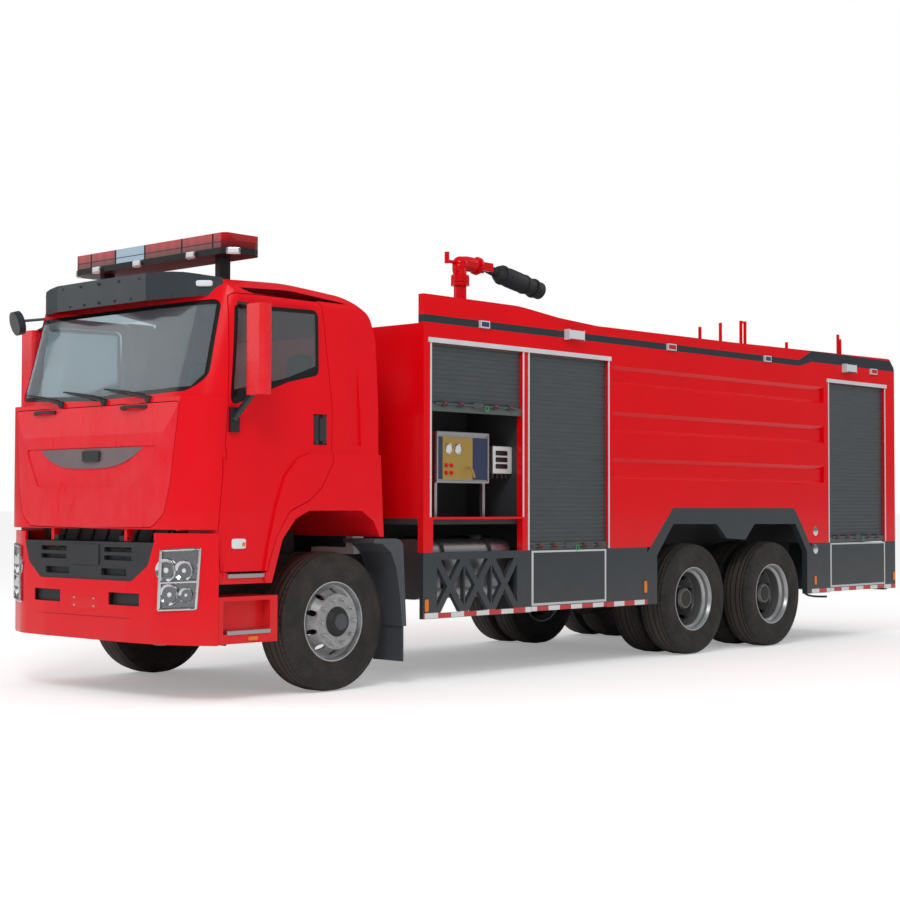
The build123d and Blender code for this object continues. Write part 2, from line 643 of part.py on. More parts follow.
with BuildPart() as monitor_head:
    rod((0, monitor_station, 3436), (0, monitor_station, 3462), 85)
    rod((0, monitor_station, 3462), (0, monitor_station, 3600), 60)
    rod((0, monitor_station, 3430), (0, monitor_station, 3476), 36 + fit, mode=Mode.SUBTRACT)
    with Locations((0, monitor_station + front_axle_y, 3600)):
        Sphere(72)
    rod((0, monitor_station, 3600), (0, 2930, 3600), 58)
    for name, side in sides:
        block((48 * side, 70 * side), (2880, 3040), (3560, 3640))
    rod((-60, *barrel_pivot), (60, *barrel_pivot), 14)
    # Upright hand wheel spindle
    rod((0, 2482, 3610), (0, monitor_station, 3610), 16)
    rod((0, 2482, 3590), (0, 2482, 3693), 22)
save(monitor_head, "monitor_head")

aim = Vector(0, barrel_end[0] - barrel_pivot[0], barrel_end[1] - barrel_pivot[1])
with BuildPart() as monitor_barrel:
    with BuildSketch(Plane(origin=(0, barrel_pivot[0] + front_axle_y, barrel_pivot[1]),
                           x_dir=aim, z_dir=(1, 0, 0))) as section:
        Polygon((0, 0), (0, 36), (150, 44), (180, 58), (340, 66), (480, 62), (620, 50),
                (aim.length, 50), (aim.length, 42), (600, 40), (600, 0), align=None)
    revolve(axis=Axis((0, barrel_pivot[0] + front_axle_y, barrel_pivot[1]), aim))
    rod((-43, *barrel_pivot), (43, *barrel_pivot), 38)
    rod((-60, *barrel_pivot), (60, *barrel_pivot), 14 + fit, mode=Mode.SUBTRACT)
save(monitor_barrel, "monitor_barrel")

# Posts on the roof edge: station, top
with BuildPart() as roof_posts:
    for station, top in ((4887, 3124), (5239, 3192), (5601, 3242), (5674, 3242), (6450, 3090),
                         (7486, 3248), (7530, 3200)):
        rod((1100, station, deck_top), (1100, station, top), 16)
    rod((1100, 5601, 3230), (1100, 5674, 3230), 12)
    rod((1100, 7486, 3190), (1100, 7530, 3190), 12)
save(roof_posts, "roof_posts")

with BuildPart() as intake_duct:
    block((790, 870), (475, 585), (1060, 2140))
    block((380, 870), (485, 575), (rail_top, 1060))
save(intake_duct, "intake_duct")

# Wheels
rim_section = [(127, 298), (115, 298), (112, bead_radius), (80, bead_radius), (60, 262),
               (-55, 262), (-80, bead_radius), (-112, bead_radius), (-115, 298), (-127, 298),
               (-127, 289), (-100, 277), (-70, 274), (-45, 252), (45, 252), (153, 200),
               (153, 95), (165, 95), (165, 205), (72, 257), (84, 275), (104, 278), (127, 289)]
tyre_section = [(-110, bead_radius), (-110, 299), (-128, 299), (-142, 335), (-tyre_half, 400),
                (-143, 465), (-120, 512), (-55, tyre_radius), (55, tyre_radius), (120, 512),
                (143, 465), (tyre_half, 400), (142, 335), (128, 299), (110, 299),
                (110, bead_radius)]
vent_holes = 10
front_bore = front_spindle_radius + fit
rear_bore = rear_spindle_radius + fit
vent_pitch = 227


def vents(x, station, side, reach):
    # Round holes through the cone of the wheel disc
    for k in range(vent_holes):
        turn = radians(k * 360 / vent_holes)
        y, z = station + vent_pitch * sin(turn), axle_height + vent_pitch * cos(turn)
        rod(((x + reach - 60) * side, y, z), ((x + reach + 60) * side, y, z), 23,
            mode=Mode.SUBTRACT)


for name, side in sides:
    with BuildPart() as knuckle:
        for z0, z1 in ((575, 625), (415, 465)):
            block((kingpin_x * side, 955 * side), (-45, 45), (z0, z1))
            rod((kingpin_x * side, 0, z0), (kingpin_x * side, 0, z1), 45)
        block((928 * side, 955 * side), (-45, 45), (415, 625))
        rod((kingpin_x * side, 0, 420), (kingpin_x * side, 0, 620), 20)
        rod((940 * side, 0, axle_height), (1210 * side, 0, axle_height), front_spindle_radius)
    save(knuckle, f"knuckle_{name}")

    with BuildPart() as tyre_front:
        turned(front_wheel_x, 0, tyre_section, side)
    save(tyre_front, f"tyre_front_{name}")

    with BuildPart() as rim_front:
        turned(front_wheel_x, 0, rim_section, side)
        turned(front_wheel_x, 0, [(50, front_bore), (50, 110), (153, 110), (165, 110),
                                  (180, 98), (198, 72), (206, 58), (206, 0), (185, 0),
                                  (185, front_bore)], side)
        vents(front_wheel_x, 0, side, 100)
    save(rim_front, f"rim_front_{name}")

    for row, station in enumerate((wheelbase, wheelbase + tandem_spacing), start=1):
        with BuildPart() as twin_tyres:
            for x in (rear_wheel_x, rear_wheel_x - twin_spacing):
                turned(x, station, tyre_section, side)
        save(twin_tyres, f"tyres_rear_{row}_{name}")

        with BuildPart() as twin_rims:
            turned(rear_wheel_x, station, [(-u, r) for u, r in rim_section], side)
            turned(rear_wheel_x - twin_spacing, station, rim_section, side)
            turned(rear_wheel_x, station, [(-255, rear_bore), (-255, 125), (-135, 125), (-135, 105),
                                           (20, 105), (40, 90), (40, 0), (12, 0), (12, rear_bore)],
                   side)
            vents(rear_wheel_x, station, side, -100)
        save(twin_rims, f"rims_rear_{row}_{name}")
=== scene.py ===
import math

import bpy
import numpy as np
from mathutils import Matrix, Vector


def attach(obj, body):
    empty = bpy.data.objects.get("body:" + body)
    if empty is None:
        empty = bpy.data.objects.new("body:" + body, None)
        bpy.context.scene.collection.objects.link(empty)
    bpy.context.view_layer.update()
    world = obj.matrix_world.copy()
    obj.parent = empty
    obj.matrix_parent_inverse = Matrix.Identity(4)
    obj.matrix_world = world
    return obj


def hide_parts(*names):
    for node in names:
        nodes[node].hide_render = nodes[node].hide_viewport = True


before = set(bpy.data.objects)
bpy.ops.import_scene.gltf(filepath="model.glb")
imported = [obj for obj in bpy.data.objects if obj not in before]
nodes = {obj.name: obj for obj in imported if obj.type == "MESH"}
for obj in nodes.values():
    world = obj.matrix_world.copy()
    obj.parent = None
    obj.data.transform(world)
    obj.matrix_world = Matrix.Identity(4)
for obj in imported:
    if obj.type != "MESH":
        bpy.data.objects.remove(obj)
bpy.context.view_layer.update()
frontAxle = -3.54  # row Y of the front axle; stations below are metres behind it
print("truck frame loaded:", len(nodes), "nodes")


# shader expressions
class Wire:
    # one output socket; arithmetic on it adds Math nodes
    def __init__(self, tree, socket):
        self.tree, self.socket = tree, socket

    def calc(self, kind, *others, swap=False):
        node = self.tree.nodes.new("ShaderNodeMath")
        node.operation = kind
        terms = [self, *others]
        if swap:
            terms.reverse()
        for slot, term in zip(node.inputs, terms):
            plug(self.tree, slot, term)
        return Wire(self.tree, node.outputs[0])

    def __add__(self, other): return self.calc("ADD", other)
    def __sub__(self, other): return self.calc("SUBTRACT", other)
    def __rpow__(self, other): return self.calc("POWER", other, swap=True)
    def __rsub__(self, other): return self.calc("SUBTRACT", other, swap=True)
    def __mul__(self, other): return self.calc("MULTIPLY", other)
    def __truediv__(self, other): return self.calc("DIVIDE", other)
    def __gt__(self, other): return self.calc("GREATER_THAN", other)
    def __lt__(self, other): return self.calc("LESS_THAN", other)
    def __pow__(self, other): return self.calc("POWER", other)
    __radd__ = __add__
    __rmul__ = __mul__

    def within(self, low, high, soft=0.0):
        # 1 between low and high, with an optional soft edge
        if soft == 0:
            return (self > low) * (self < high)
        rise = ((self - low) / soft + 0.5).calc("MAXIMUM", 0).calc("MINIMUM", 1)
        fall = ((high - self) / soft + 0.5).calc("MAXIMUM", 0).calc("MINIMUM", 1)
        return rise * fall

    def unit(self):
        return self.calc("MAXIMUM", 0).calc("MINIMUM", 1)


def plug(tree, slot, value):
    if isinstance(value, Wire):
        tree.links.new(value.socket, slot)
    elif isinstance(value, (tuple, list)) and len(value) == 3 and len(slot.default_value) == 4:
        slot.default_value = (*value, 1)
    else:
        slot.default_value = value


class Finish:
    # a material under construction: Object coordinates, helpers and one Principled surface
    def __init__(self, name):
        self.material = bpy.data.materials.new(name)
        self.material.use_nodes = True
        self.tree = self.material.node_tree
        self.tree.nodes.clear()
        self.coords = self.node("ShaderNodeTexCoord", out="Object")
        self.x, self.y, self.z = (self.node("ShaderNodeSeparateXYZ", sockets={0: self.coords}, out=i)
                                  for i in range(3))
        self.station = self.y - frontAxle

    def node(self, kind, settings=None, sockets=None, out=0):
        made = self.tree.nodes.new(kind)
        for key, value in (settings or {}).items():
            if key == "stops":
                ramp = made.color_ramp
                while len(ramp.elements) < len(value):
                    ramp.elements.new(0.5)
                for element, (place, colour) in zip(ramp.elements, value):
                    element.position, element.color = place, (*colour, 1)
            else:
                setattr(made, key, value)
        for key, value in (sockets or {}).items():
            plug(self.tree, made.inputs[key], value)
        return Wire(self.tree, made.outputs[out]) if made.outputs else None

    def noise(self, scale, detail=3, rough=0.5, stretch=None, out=0):
        place = self.coords
        if stretch:
            place = self.node("ShaderNodeVectorMath", {"operation": "MULTIPLY"},
                              {0: self.coords, 1: stretch})
        return self.node("ShaderNodeTexNoise", None,
                         {"Vector": place, "Scale": scale, "Detail": detail, "Roughness": rough},
                         out=out)

    def inside(self, across, upward, outline):
        # depth inside a convex outline given counterclockwise, in metres
        depth = None
        for (u0, v0), (u1, v1) in zip(outline, outline[1:] + outline[:1]):
            size = math.hypot(u1 - u0, v1 - v0)
            edge = (upward - v0) * ((u1 - u0) / size) - (across - u0) * ((v1 - v0) / size)
            depth = edge if depth is None else depth.calc("MINIMUM", edge)
        return depth

    def mix(self, factor, first, second):
        made = self.tree.nodes.new("ShaderNodeMix")
        made.data_type = "RGBA"
        plug(self.tree, made.inputs[0], factor)
        plug(self.tree, made.inputs[6], first)
        plug(self.tree, made.inputs[7], second)
        return Wire(self.tree, made.outputs[2])

    def bump(self, height, strength, distance):
        return self.node("ShaderNodeBump", None,
                         {"Height": height, "Strength": strength, "Distance": distance})

    def surface(self, **sockets):
        names = {key: key.replace("_", " ").title().replace("Ior", "IOR") for key in sockets}
        shader = self.node("ShaderNodeBsdfPrincipled", None,
                           {names[key]: value for key, value in sockets.items()})
        self.node("ShaderNodeOutputMaterial", None, {"Surface": shader})
        return self.material


def worn(fin, colour, dark=0.82, scale=3.0):
    # base colour with slow mottling between a darker and the plain tone
    low = tuple(c * dark for c in colour)
    return fin.mix(fin.noise(scale, 4, 0.6), low, colour)


def glossPaint(fin, paint, rough, **more):
    # car paint with slight orange peel
    return fin.surface(base_color=paint, roughness=rough, coat_weight=0.10, specular_ior_level=0.16,
                       normal=fin.bump(fin.noise(260, 2), 0.06, 0.002), **more)


def dirty(fin, paint, top, slope, scale, amount, colour):
    # road dirt that thickens below the given height
    return fin.mix(((top - fin.z) * slope).unit() * fin.noise(scale, 5, 0.7) * amount, paint, colour)


red = {"side": (0.80, 0.0015, 0.0065), "front": (0.82, 0.004, 0.012), "faded": (0.78, 0.075, 0.10)}
slate = (0.030, 0.040, 0.048)
axleHeight = 0.522
rearAxles = {1: 4.6, 2: 5.97}  # stations of the two rear axles
stripe = {"start": 0.86, "low": 2.837, "high": 2.898, "stepAt": 6.443, "stepLength": 0.256,
          "lowRise": 0.058, "highRise": 0.110}
tape = {"pitch": 0.304, "phase": 0.892, "start": 0.88, "end": 8.44, "low": 0.503, "high": 0.546}


def redMaterial(name, base=None, fade=0.0, stripes=False):
    # gloss paint with road dirt and, where faded, chalky streaks
    fin = Finish(name)
    paint = worn(fin, base or red["side"], 0.88, 1.7)
    if fade:
        cloud = fin.noise(2.2, 5, 0.62)
        chalk = (fin.noise(14, 4, 0.6, (1, 1, 0.35)) * 0.6 + cloud * 0.6 - 0.32).unit() * fade
        paint = fin.mix(chalk, paint, red["faded"])
    if stripes:
        # dark stripe that steps up and widens towards the rear
        rise = ((fin.station - stripe["stepAt"]) / stripe["stepLength"]).unit()
        low = rise * stripe["lowRise"] + stripe["low"]
        high = rise * stripe["highRise"] + stripe["high"]
        band = (fin.z > low) * (fin.z < high) * (fin.station > stripe["start"])
        paint = fin.mix(band, paint, slate)
    paint = dirty(fin, paint, 1.35, 1.2, 6, 0.22, (0.24, 0.15, 0.11))
    rough = fin.noise(5) * 0.10 + 0.16
    if fade:
        rough = rough + chalk * 0.45
    return glossPaint(fin, paint, rough, coat_roughness=0.05)


def slateMaterial(name, strips=False, edging=None):
    fin = Finish(name)
    paint = worn(fin, slate, 0.8, 2.5)
    if strips:
        # red and white reflective blocks along the lower edge
        phase = ((fin.station - tape["phase"]) / tape["pitch"]).calc("FRACT")
        white = phase < 0.5
        taped = fin.z.within(tape["low"], tape["high"]) * fin.station.within(tape["start"], tape["end"])
        cell = fin.node("ShaderNodeTexVoronoi", {"feature": "DISTANCE_TO_EDGE"},
                        {"Vector": fin.coords, "Scale": 110}, out="Distance")
        glow = (cell * 6).unit()
        colour = fin.mix(white, (0.60, 0.008, 0.015), (0.80, 0.80, 0.80))
        colour = fin.mix(glow * 0.25 + 0.75, (0.2, 0.2, 0.2), colour)
        paint = fin.mix(taped, paint, colour)
    if edging:
        # silver edging round a flap
        inner = fin.station.within(edging[0] + 0.024, edging[1] - 0.024) * fin.z.within(
            edging[2] + 0.020, edging[3] - 0.024)
        paint = fin.mix((1 - inner) * (fin.z > edging[2]), paint, (0.55, 0.57, 0.58))
    paint = dirty(fin, paint, 0.95, 1.1, 9, 0.35, (0.16, 0.14, 0.12))
    return fin.surface(base_color=paint, roughness=fin.noise(7) * 0.16 + 0.30,
                       coat_weight=0.10, coat_roughness=0.15,
                       normal=fin.bump(fin.noise(220, 2), 0.08, 0.002))


def plasticMaterial(name, colour=(0.022, 0.024, 0.027), rough=0.45, grain=420):
    # leathery cell grain with patches of dust
    fin = Finish(name)
    skin = fin.node("ShaderNodeTexVoronoi", None, {"Vector": fin.coords, "Scale": grain}, out="Distance")
    dust = (fin.noise(5, 5, 0.65) - 0.45).unit() * 0.5
    paint = fin.mix(dust, colour, tuple(c * 1.8 + 0.03 for c in colour))
    return fin.surface(base_color=paint, roughness=fin.noise(8) * 0.15 + rough,
                       normal=fin.bump(skin, 0.25, 0.001))


def metalMaterial(name, colour=(0.62, 0.63, 0.65), rough=0.3, brushed=(1, 1, 30), metallic=1.0):
    # streaks of noise, stretched along the brushing
    fin = Finish(name)
    grain = fin.noise(60, 3, 0.6, brushed)
    paint = fin.mix(grain, tuple(c * 0.72 for c in colour), colour)
    return fin.surface(base_color=paint, roughness=grain * 0.22 + rough, metallic=metallic,
                       normal=fin.bump(grain, 0.10, 0.001))


def rubberMaterial(name, station, middles):
    # tread: four grooves round the tyre and sipes across, sidewall: rings and shoulder lugs
    fin = Finish(name)
    away = fin.station - station
    up = fin.z - axleHeight
    radius = (away * away + up * up) ** 0.5
    angle = away.calc("ARCTAN2", up)
    side = fin.x.calc("ABSOLUTE") - middles[0]
    if len(middles) == 2:
        other = fin.x.calc("ABSOLUTE") - middles[1]
        side = side.calc("ABSOLUTE").calc("MINIMUM", other.calc("ABSOLUTE"))
    else:
        side = side.calc("ABSOLUTE")
    groove = side.within(0.024, 0.036, 0.004) + side.within(0.072, 0.084, 0.004)
    sipe = (angle * 30).calc("SINE").within(-0.22, 0.22, 0.1) * side.within(0.084, 0.13, 0.004)
    fine = (angle * 95).calc("SINE").within(-0.4, 0.4, 0.2) * side.within(0.036, 0.072, 0.003) * 0.3
    tread = (radius > 0.502) * (groove + sipe * 0.6 + fine).unit()
    rings = ((radius * 240).calc("SINE") > 0.75) * radius.within(0.325, 0.352)
    shoulder = (angle * 48).calc("SINE").within(-0.5, 0.5, 0.3) * radius.within(0.468, 0.500, 0.006)
    ridge = radius.within(0.395, 0.401, 0.003) + radius.within(0.448, 0.454, 0.003)
    height = rings * 0.3 + ridge * 0.6 + shoulder * 0.5 - tread
    dust = ((fin.noise(7, 6, 0.7) - 0.36).unit() * 1.6).unit()
    paint = fin.mix(dust, (0.014, 0.013, 0.013), (0.062, 0.050, 0.040))
    scuffed = radius.calc("GREATER_THAN", 0.515) * (1 - tread)
    paint = fin.mix(scuffed * 0.55, paint, (0.105, 0.085, 0.070))
    # grooves and sipes are painted near black: painted shade in the recesses
    paint = fin.mix(tread * 0.8, paint, (0.006, 0.006, 0.006))
    return fin.surface(base_color=paint, roughness=fin.noise(20, 4) * 0.2 + 0.62,
                       normal=fin.bump(height + fin.noise(180, 4, 0.6) * 0.06, 0.9, 0.006))


def glassMaterial(name, tint=(0.50, 0.62, 0.68), rough=0.02, clear=0.85, outlines=(), band=0.03):
    # clear glass, with a black printed surround along the edge of the given outlines
    fin = Finish(name)
    film = fin.noise(3, 4, 0.6)
    surround = None
    for across, points in outlines:
        axis = fin.x.calc("ABSOLUTE") if across == "x" else fin.station
        depth = fin.inside(axis, fin.z, points)
        zone = (fin.station < -0.9) if across == "x" else (fin.station > -2)
        edge = (depth < band) * zone
        surround = edge if surround is None else (surround + edge).unit()
    colour = fin.mix(film, tint, tuple(c * 0.9 for c in tint))
    sockets = dict(roughness=film * 0.03 + rough, ior=1.45)
    if surround is None:
        return fin.surface(base_color=colour, transmission_weight=clear, **sockets)
    glass = fin.node("ShaderNodeBsdfPrincipled", None,
                     {"Base Color": colour, "Roughness": sockets["roughness"],
                      "Transmission Weight": clear, "IOR": 1.45})
    black = fin.node("ShaderNodeBsdfPrincipled", None,
                     {"Base Color": fin.mix(film, (0.006, 0.007, 0.008), (0.012, 0.013, 0.014)),
                      "Roughness": film * 0.05 + 0.12})
    both = fin.node("ShaderNodeMixShader", None, {0: surround, 1: glass, 2: black})
    fin.node("ShaderNodeOutputMaterial", None, {"Surface": both})
    return fin.material


def slatMaterial(name, pitch=0.0375):
    # rounded slats hooked into each other, a smoother rail at each curtain's foot
    fin = Finish(name)
    phase = (fin.z / pitch).calc("FRACT")
    slat = (phase * math.pi).calc("SINE") ** 0.35
    gap = (phase < 0.10)
    wear = fin.noise(4, 4, 0.6, (1, 1, 6))
    paint = fin.mix(wear, (0.052, 0.066, 0.072), (0.094, 0.110, 0.116))
    paint = fin.mix(gap * 0.75, paint, (0.012, 0.014, 0.016))
    rail = (fin.x.calc("ABSOLUTE") > 1.2225) * 1
    paint = fin.mix(rail, paint, (0.115, 0.135, 0.125))
    return fin.surface(base_color=paint, roughness=wear * 0.2 + 0.36, metallic=0.35,
                       normal=fin.bump(slat * (1 - rail), 0.6, 0.006))


def fabricMaterial(name, colour=(0.03, 0.033, 0.04)):
    # two crossed waves for warp and weft
    fin = Finish(name)
    weave = fin.node("ShaderNodeTexWave", {"bands_direction": "X"},
                     {"Vector": fin.coords, "Scale": 160, "Distortion": 2})
    cross = fin.node("ShaderNodeTexWave", {"bands_direction": "Z"},
                     {"Vector": fin.coords, "Scale": 160, "Distortion": 2})
    return fin.surface(base_color=fin.mix(weave * cross, colour, tuple(c * 2.2 for c in colour)),
                       roughness=0.85, normal=fin.bump(weave + cross, 0.4, 0.001))


redSide = redMaterial("redBodyPaint", stripes=True)
redCab = redMaterial("redCabPaint", red["front"])
redFaded = redMaterial("fadedRedPaint", red["front"], fade=0.8)
slatePaint = slateMaterial("slateSkirtPaint", strips=True)
slatePlain = slateMaterial("slatePaint")
framedFlap = {row: slateMaterial(f"slateFlapPaint{row}", strips=True, edging=edging) for row, edging in
              (("mid", (2.19, 3.213, 0.552, 1.022)), ("rear", (7.05, 8.212, 0.552, 1.022)))}
blackPlastic = plasticMaterial("blackPlastic")
greyPlastic = plasticMaterial("greyPlastic", (0.06, 0.068, 0.078), 0.4)
brushedAluminium = metalMaterial("brushedAluminium")
silverPaint = metalMaterial("silverPaint", (0.55, 0.56, 0.58), 0.34, (1, 1, 1), 0.75)
whiteTrim = plasticMaterial("whiteTrim", (0.60, 0.62, 0.64), 0.3)
chassisBlack = plasticMaterial("chassisBlack", (0.018, 0.018, 0.019), 0.55, 200)
castIron = plasticMaterial("castIron", (0.04, 0.037, 0.034), 0.7, 120)
frontRubber = rubberMaterial("frontTyreRubber", 0, (1.032,))
rearRubber = {row: rubberMaterial(f"rearTyreRubber{row}", station, (1.090, 0.760))
              for row, station in rearAxles.items()}
screenGlass = glassMaterial("screenGlass", outlines=[
    ("x", [(-1, 2.152), (0, 2.152), (1.04, 2.19), (1.13, 2.30), (1.105, 2.85), (-1, 2.85)])], band=0.035)
doorGlass = glassMaterial("doorGlass", (0.40, 0.46, 0.48), outlines=[
    ("station", [(-1.068, 2.081), (-0.519, 2.283), (-0.215, 2.350), (-0.225, 2.830), (-0.990, 2.812)])],
    band=0.03)
chromeShell = metalMaterial("lampHousing", (0.30, 0.31, 0.33), 0.16, (1, 1, 1))
slats = slatMaterial("shutterSlats")
seatCloth = fabricMaterial("seatCloth")


def bumperMaterial(name):
    # paint on the face, painted shade in black behind it, where the slots and lamp openings show its depth
    fin = Finish(name)
    reach = fin.x.calc("ABSOLUTE")
    face = -1.42 + (reach - 0.5).calc("MAXIMUM", 0) * 0.0714 + (reach - 0.85).calc("MAXIMUM", 0) * 0.36
    face = face + (reach - 1.07).calc("MAXIMUM", 0) * 0.18
    # surfaces set back from the face are painted near black: painted shade in the slots and openings
    deep = (fin.station > face + 0.022) * (fin.z > 0.43) * (reach < 1.235)
    slot = (fin.station > face + 0.008) * (reach < 0.70) * fin.z.within(0.62, 1.14)
    deep = (deep + slot).unit()
    paint = fin.mix(deep, worn(fin, red["front"], 0.88, 1.7), (0.010, 0.010, 0.011))
    paint = dirty(fin, paint, 0.75, 2, 6, 0.25, (0.24, 0.12, 0.10))
    return glossPaint(fin, paint, fin.noise(5) * 0.10 + 0.18)


def doorMaterial(name):
    # cab paint with a black pocket behind the pull handle
    fin = Finish(name)
    pocket = fin.station.within(-0.274, -0.144) * fin.z.within(1.835, 2.061)
    paint = fin.mix(pocket, worn(fin, red["front"], 0.88, 1.7), (0.012, 0.012, 0.013))
    return glossPaint(fin, paint, fin.noise(5) * 0.10 + 0.16)


def rimMaterial(name, station, dark):
    # bright lip, disc darkened by painted shade, most on the rear rims whose disc sits deep in the tyres,
    # brake dust round the holes
    fin = Finish(name)
    away, up = fin.station - station, fin.z - axleHeight
    radius = (away * away + up * up) ** 0.5
    grain = fin.noise(80, 3, 0.6)
    paint = fin.mix(grain, (0.40, 0.41, 0.42), (0.62, 0.63, 0.64))
    # painted shade: the disc inside radius 0.262 darkens by the given amount
    disc = ((0.262 - radius) * 60).unit()
    paint = fin.mix(disc * dark, paint, (0.05, 0.05, 0.052))
    dust = (fin.noise(16, 5, 0.7) - 0.42).unit() * disc * 1.2
    paint = fin.mix(dust.unit(), paint, (0.14, 0.11, 0.09))
    return fin.surface(base_color=paint, roughness=grain * 0.2 + 0.24, metallic=0.7,
                       normal=fin.bump(grain, 0.06, 0.001))


def lightBarMaterial(name):
    # red lenses with dark frames and painted shade towards their foot, a clear middle, black tray and legs
    fin = Finish(name)
    ribs = (fin.x * 55).calc("SINE") * 0.5 + 0.5
    lens = fin.mix(ribs * 0.5, (0.50, 0.002, 0.006), (0.22, 0.001, 0.003))
    # lenses darken towards their foot below 3.345 m: painted shade
    lens = fin.mix(((3.345 - fin.z) * 14).unit() * 0.8, lens, (0.035, 0.001, 0.002))
    lens = fin.mix(fin.x.within(-0.38, -0.03), lens, (0.36, 0.50, 0.62))
    bars = fin.x.within(-0.40, -0.38) + fin.x.within(-0.03, -0.01) + fin.x.within(0.42, 0.44)
    bars = bars + fin.x.within(-0.72, -0.70) + fin.x.within(0.78, 0.80)
    tray = (fin.z < 3.262) + fin.z.within(3.300, 3.306) + bars
    dark = tray.unit()
    paint = fin.mix(dark, lens, (0.006, 0.006, 0.007))
    return fin.surface(base_color=paint, roughness=fin.noise(8) * 0.08 + 0.08 + dark * 0.4,
                       coat_weight=(1 - dark) * 0.4, normal=fin.bump(ribs, 0.25, 0.003))


def bodyLampMaterial(name):
    # one colour per lamp by its station: blue strobes, floods in red and grey housings, red strobes
    fin = Finish(name)
    paint = (0.60, 0.62, 0.64)
    for station, reach, colour in ((1.576, 0.06, (0.03, 0.06, 0.15)), (2.729, 0.11, (0.55, 0.02, 0.02)),
                                   (4.189, 0.07, (0.50, 0.01, 0.02)), (5.830, 0.06, (0.03, 0.06, 0.15)),
                                   (7.412, 0.11, (0.09, 0.10, 0.11)), (7.959, 0.07, (0.50, 0.01, 0.02)),
                                   (8.455, 0.04, (0.52, 0.01, 0.01))):
        # a light bezel stays round each strobe
        tall = 0.020 if reach < 0.1 else 0.05
        lens = fin.station.within(station - reach + 0.014, station + reach - 0.014)
        paint = fin.mix(lens * fin.z.within(2.868 - tall, 2.868 + tall), paint, colour)
    face = (fin.x.calc("ABSOLUTE") > 1.303) * fin.z.within(2.832, 2.905)
    paint = fin.mix(face, paint, (0.66, 0.70, 0.74))
    ribs = (fin.station * 300).calc("SINE")
    return fin.surface(base_color=paint, roughness=fin.noise(9) * 0.08 + 0.10, coat_weight=0.4,
                       normal=fin.bump(ribs, 0.15, 0.002))


def mirrorMaterial(name):
    # red housing outboard, black arm and base, mirror glass on the rear face painted a flat blue grey:
    # painted reflection
    fin = Finish(name)
    paint = worn(fin, red["front"], 0.9, 2.5)
    fade = (fin.noise(3, 5, 0.6) - 0.35).unit() * 0.8
    paint = fin.mix(fade, paint, red["faded"])
    outward = fin.x.calc("ABSOLUTE")
    arm = (outward < 1.304) + (fin.z < 2.158)
    paint = fin.mix(arm.unit(), paint, (0.014, 0.015, 0.017))
    # the mirror glass is a flat blue grey base colour: painted reflection
    paint = fin.mix(fin.station > -0.9055, paint, (0.25, 0.28, 0.30))
    return fin.surface(base_color=paint, roughness=fin.noise(9) * 0.15 + 0.2, coat_weight=0.2)


def radiatorMaterial(name):
    # fine level fins across upright tubes
    fin = Finish(name)
    fins = (fin.z * 700).calc("SINE") * 0.5 + 0.5
    tubes = (fin.x * 220).calc("SINE") * 0.5 + 0.5
    return fin.surface(base_color=fin.mix(fins * tubes, (0.006, 0.006, 0.007), (0.05, 0.052, 0.056)),
                       roughness=fin.noise(9) * 0.1 + 0.5, normal=fin.bump(fins, 0.5, 0.004))


lightBarPaint = lightBarMaterial("lightBarLens")
bumperPaint, doorPaint = bumperMaterial("bumperPaint"), doorMaterial("doorPaint")
# the last argument is how much painted shade darkens each disc
rimPaint = {0: rimMaterial("frontRimPaint", 0, 0.15)}
rimPaint.update({row: rimMaterial(f"rearRimPaint{row}", station, 0.72)
                 for row, station in rearAxles.items()})
# locker insides and the body frame painted dark grey: painted shade inside the body
paintedShadeInside = plasticMaterial("lockerShadeInside", (0.035, 0.038, 0.042), 0.5, 90)
bodyLampPaint = bodyLampMaterial("bodyLamps")
mirrorPaint = mirrorMaterial("mirrorPaint")
radiatorFins = radiatorMaterial("radiatorFins")

byNode = {
    "body_sides": redSide, "body_ends": redSide, "roof_posts": redSide, "monitor_riser": redSide,
    "monitor_head": redSide, "cab_shell": redCab, "front_panel": redFaded, "bumper": bumperPaint,
    "lower_steps": redCab, "skirts": slatePaint, "arch_trims": slatePlain, "sun_visor": slatePlain,
    "lower_grille": blackPlastic, "front_mudguards": greyPlastic, "dashboard": greyPlastic,
    "intake_duct": whiteTrim, "fuel_tank": brushedAluminium, "shutter_frames": whiteTrim,
    "pump_controls": brushedAluminium, "rear_ladder": brushedAluminium,
    "lower_lockers": paintedShadeInside, "roof_deck": silverPaint, "body_frame": paintedShadeInside,
    "frame_rails": chassisBlack, "leaf_springs": chassisBlack, "drive_shafts": chassisBlack,
    "radiator": radiatorFins, "monitor_barrel": chassisBlack, "axles": castIron,
    "engine_block": castIron, "headlamps": chromeShell, "body_lamps": bodyLampPaint,
    "cab_glass": screenGlass, "light_bar": lightBarPaint, "seats": seatCloth, "shutters": slats}
for side in ("left", "right"):
    byNode.update({f"door_{side}": doorPaint, f"door_glass_{side}": doorGlass, f"mirror_{side}": mirrorPaint,
                   f"knuckle_{side}": castIron, f"tyre_front_{side}": frontRubber,
                   f"rim_front_{side}": rimPaint[0], f"flap_mid_{side}": framedFlap["mid"],
                   f"flap_rear_{side}": framedFlap["rear"]})
    for row in (1, 2):
        byNode.update({f"tyres_rear_{row}_{side}": rearRubber[row], f"rims_rear_{row}_{side}": rimPaint[row]})
for name, node in nodes.items():
    for slot in node.material_slots:
        slot.material = byNode[name]
print("materials on", len(byNode), "nodes")

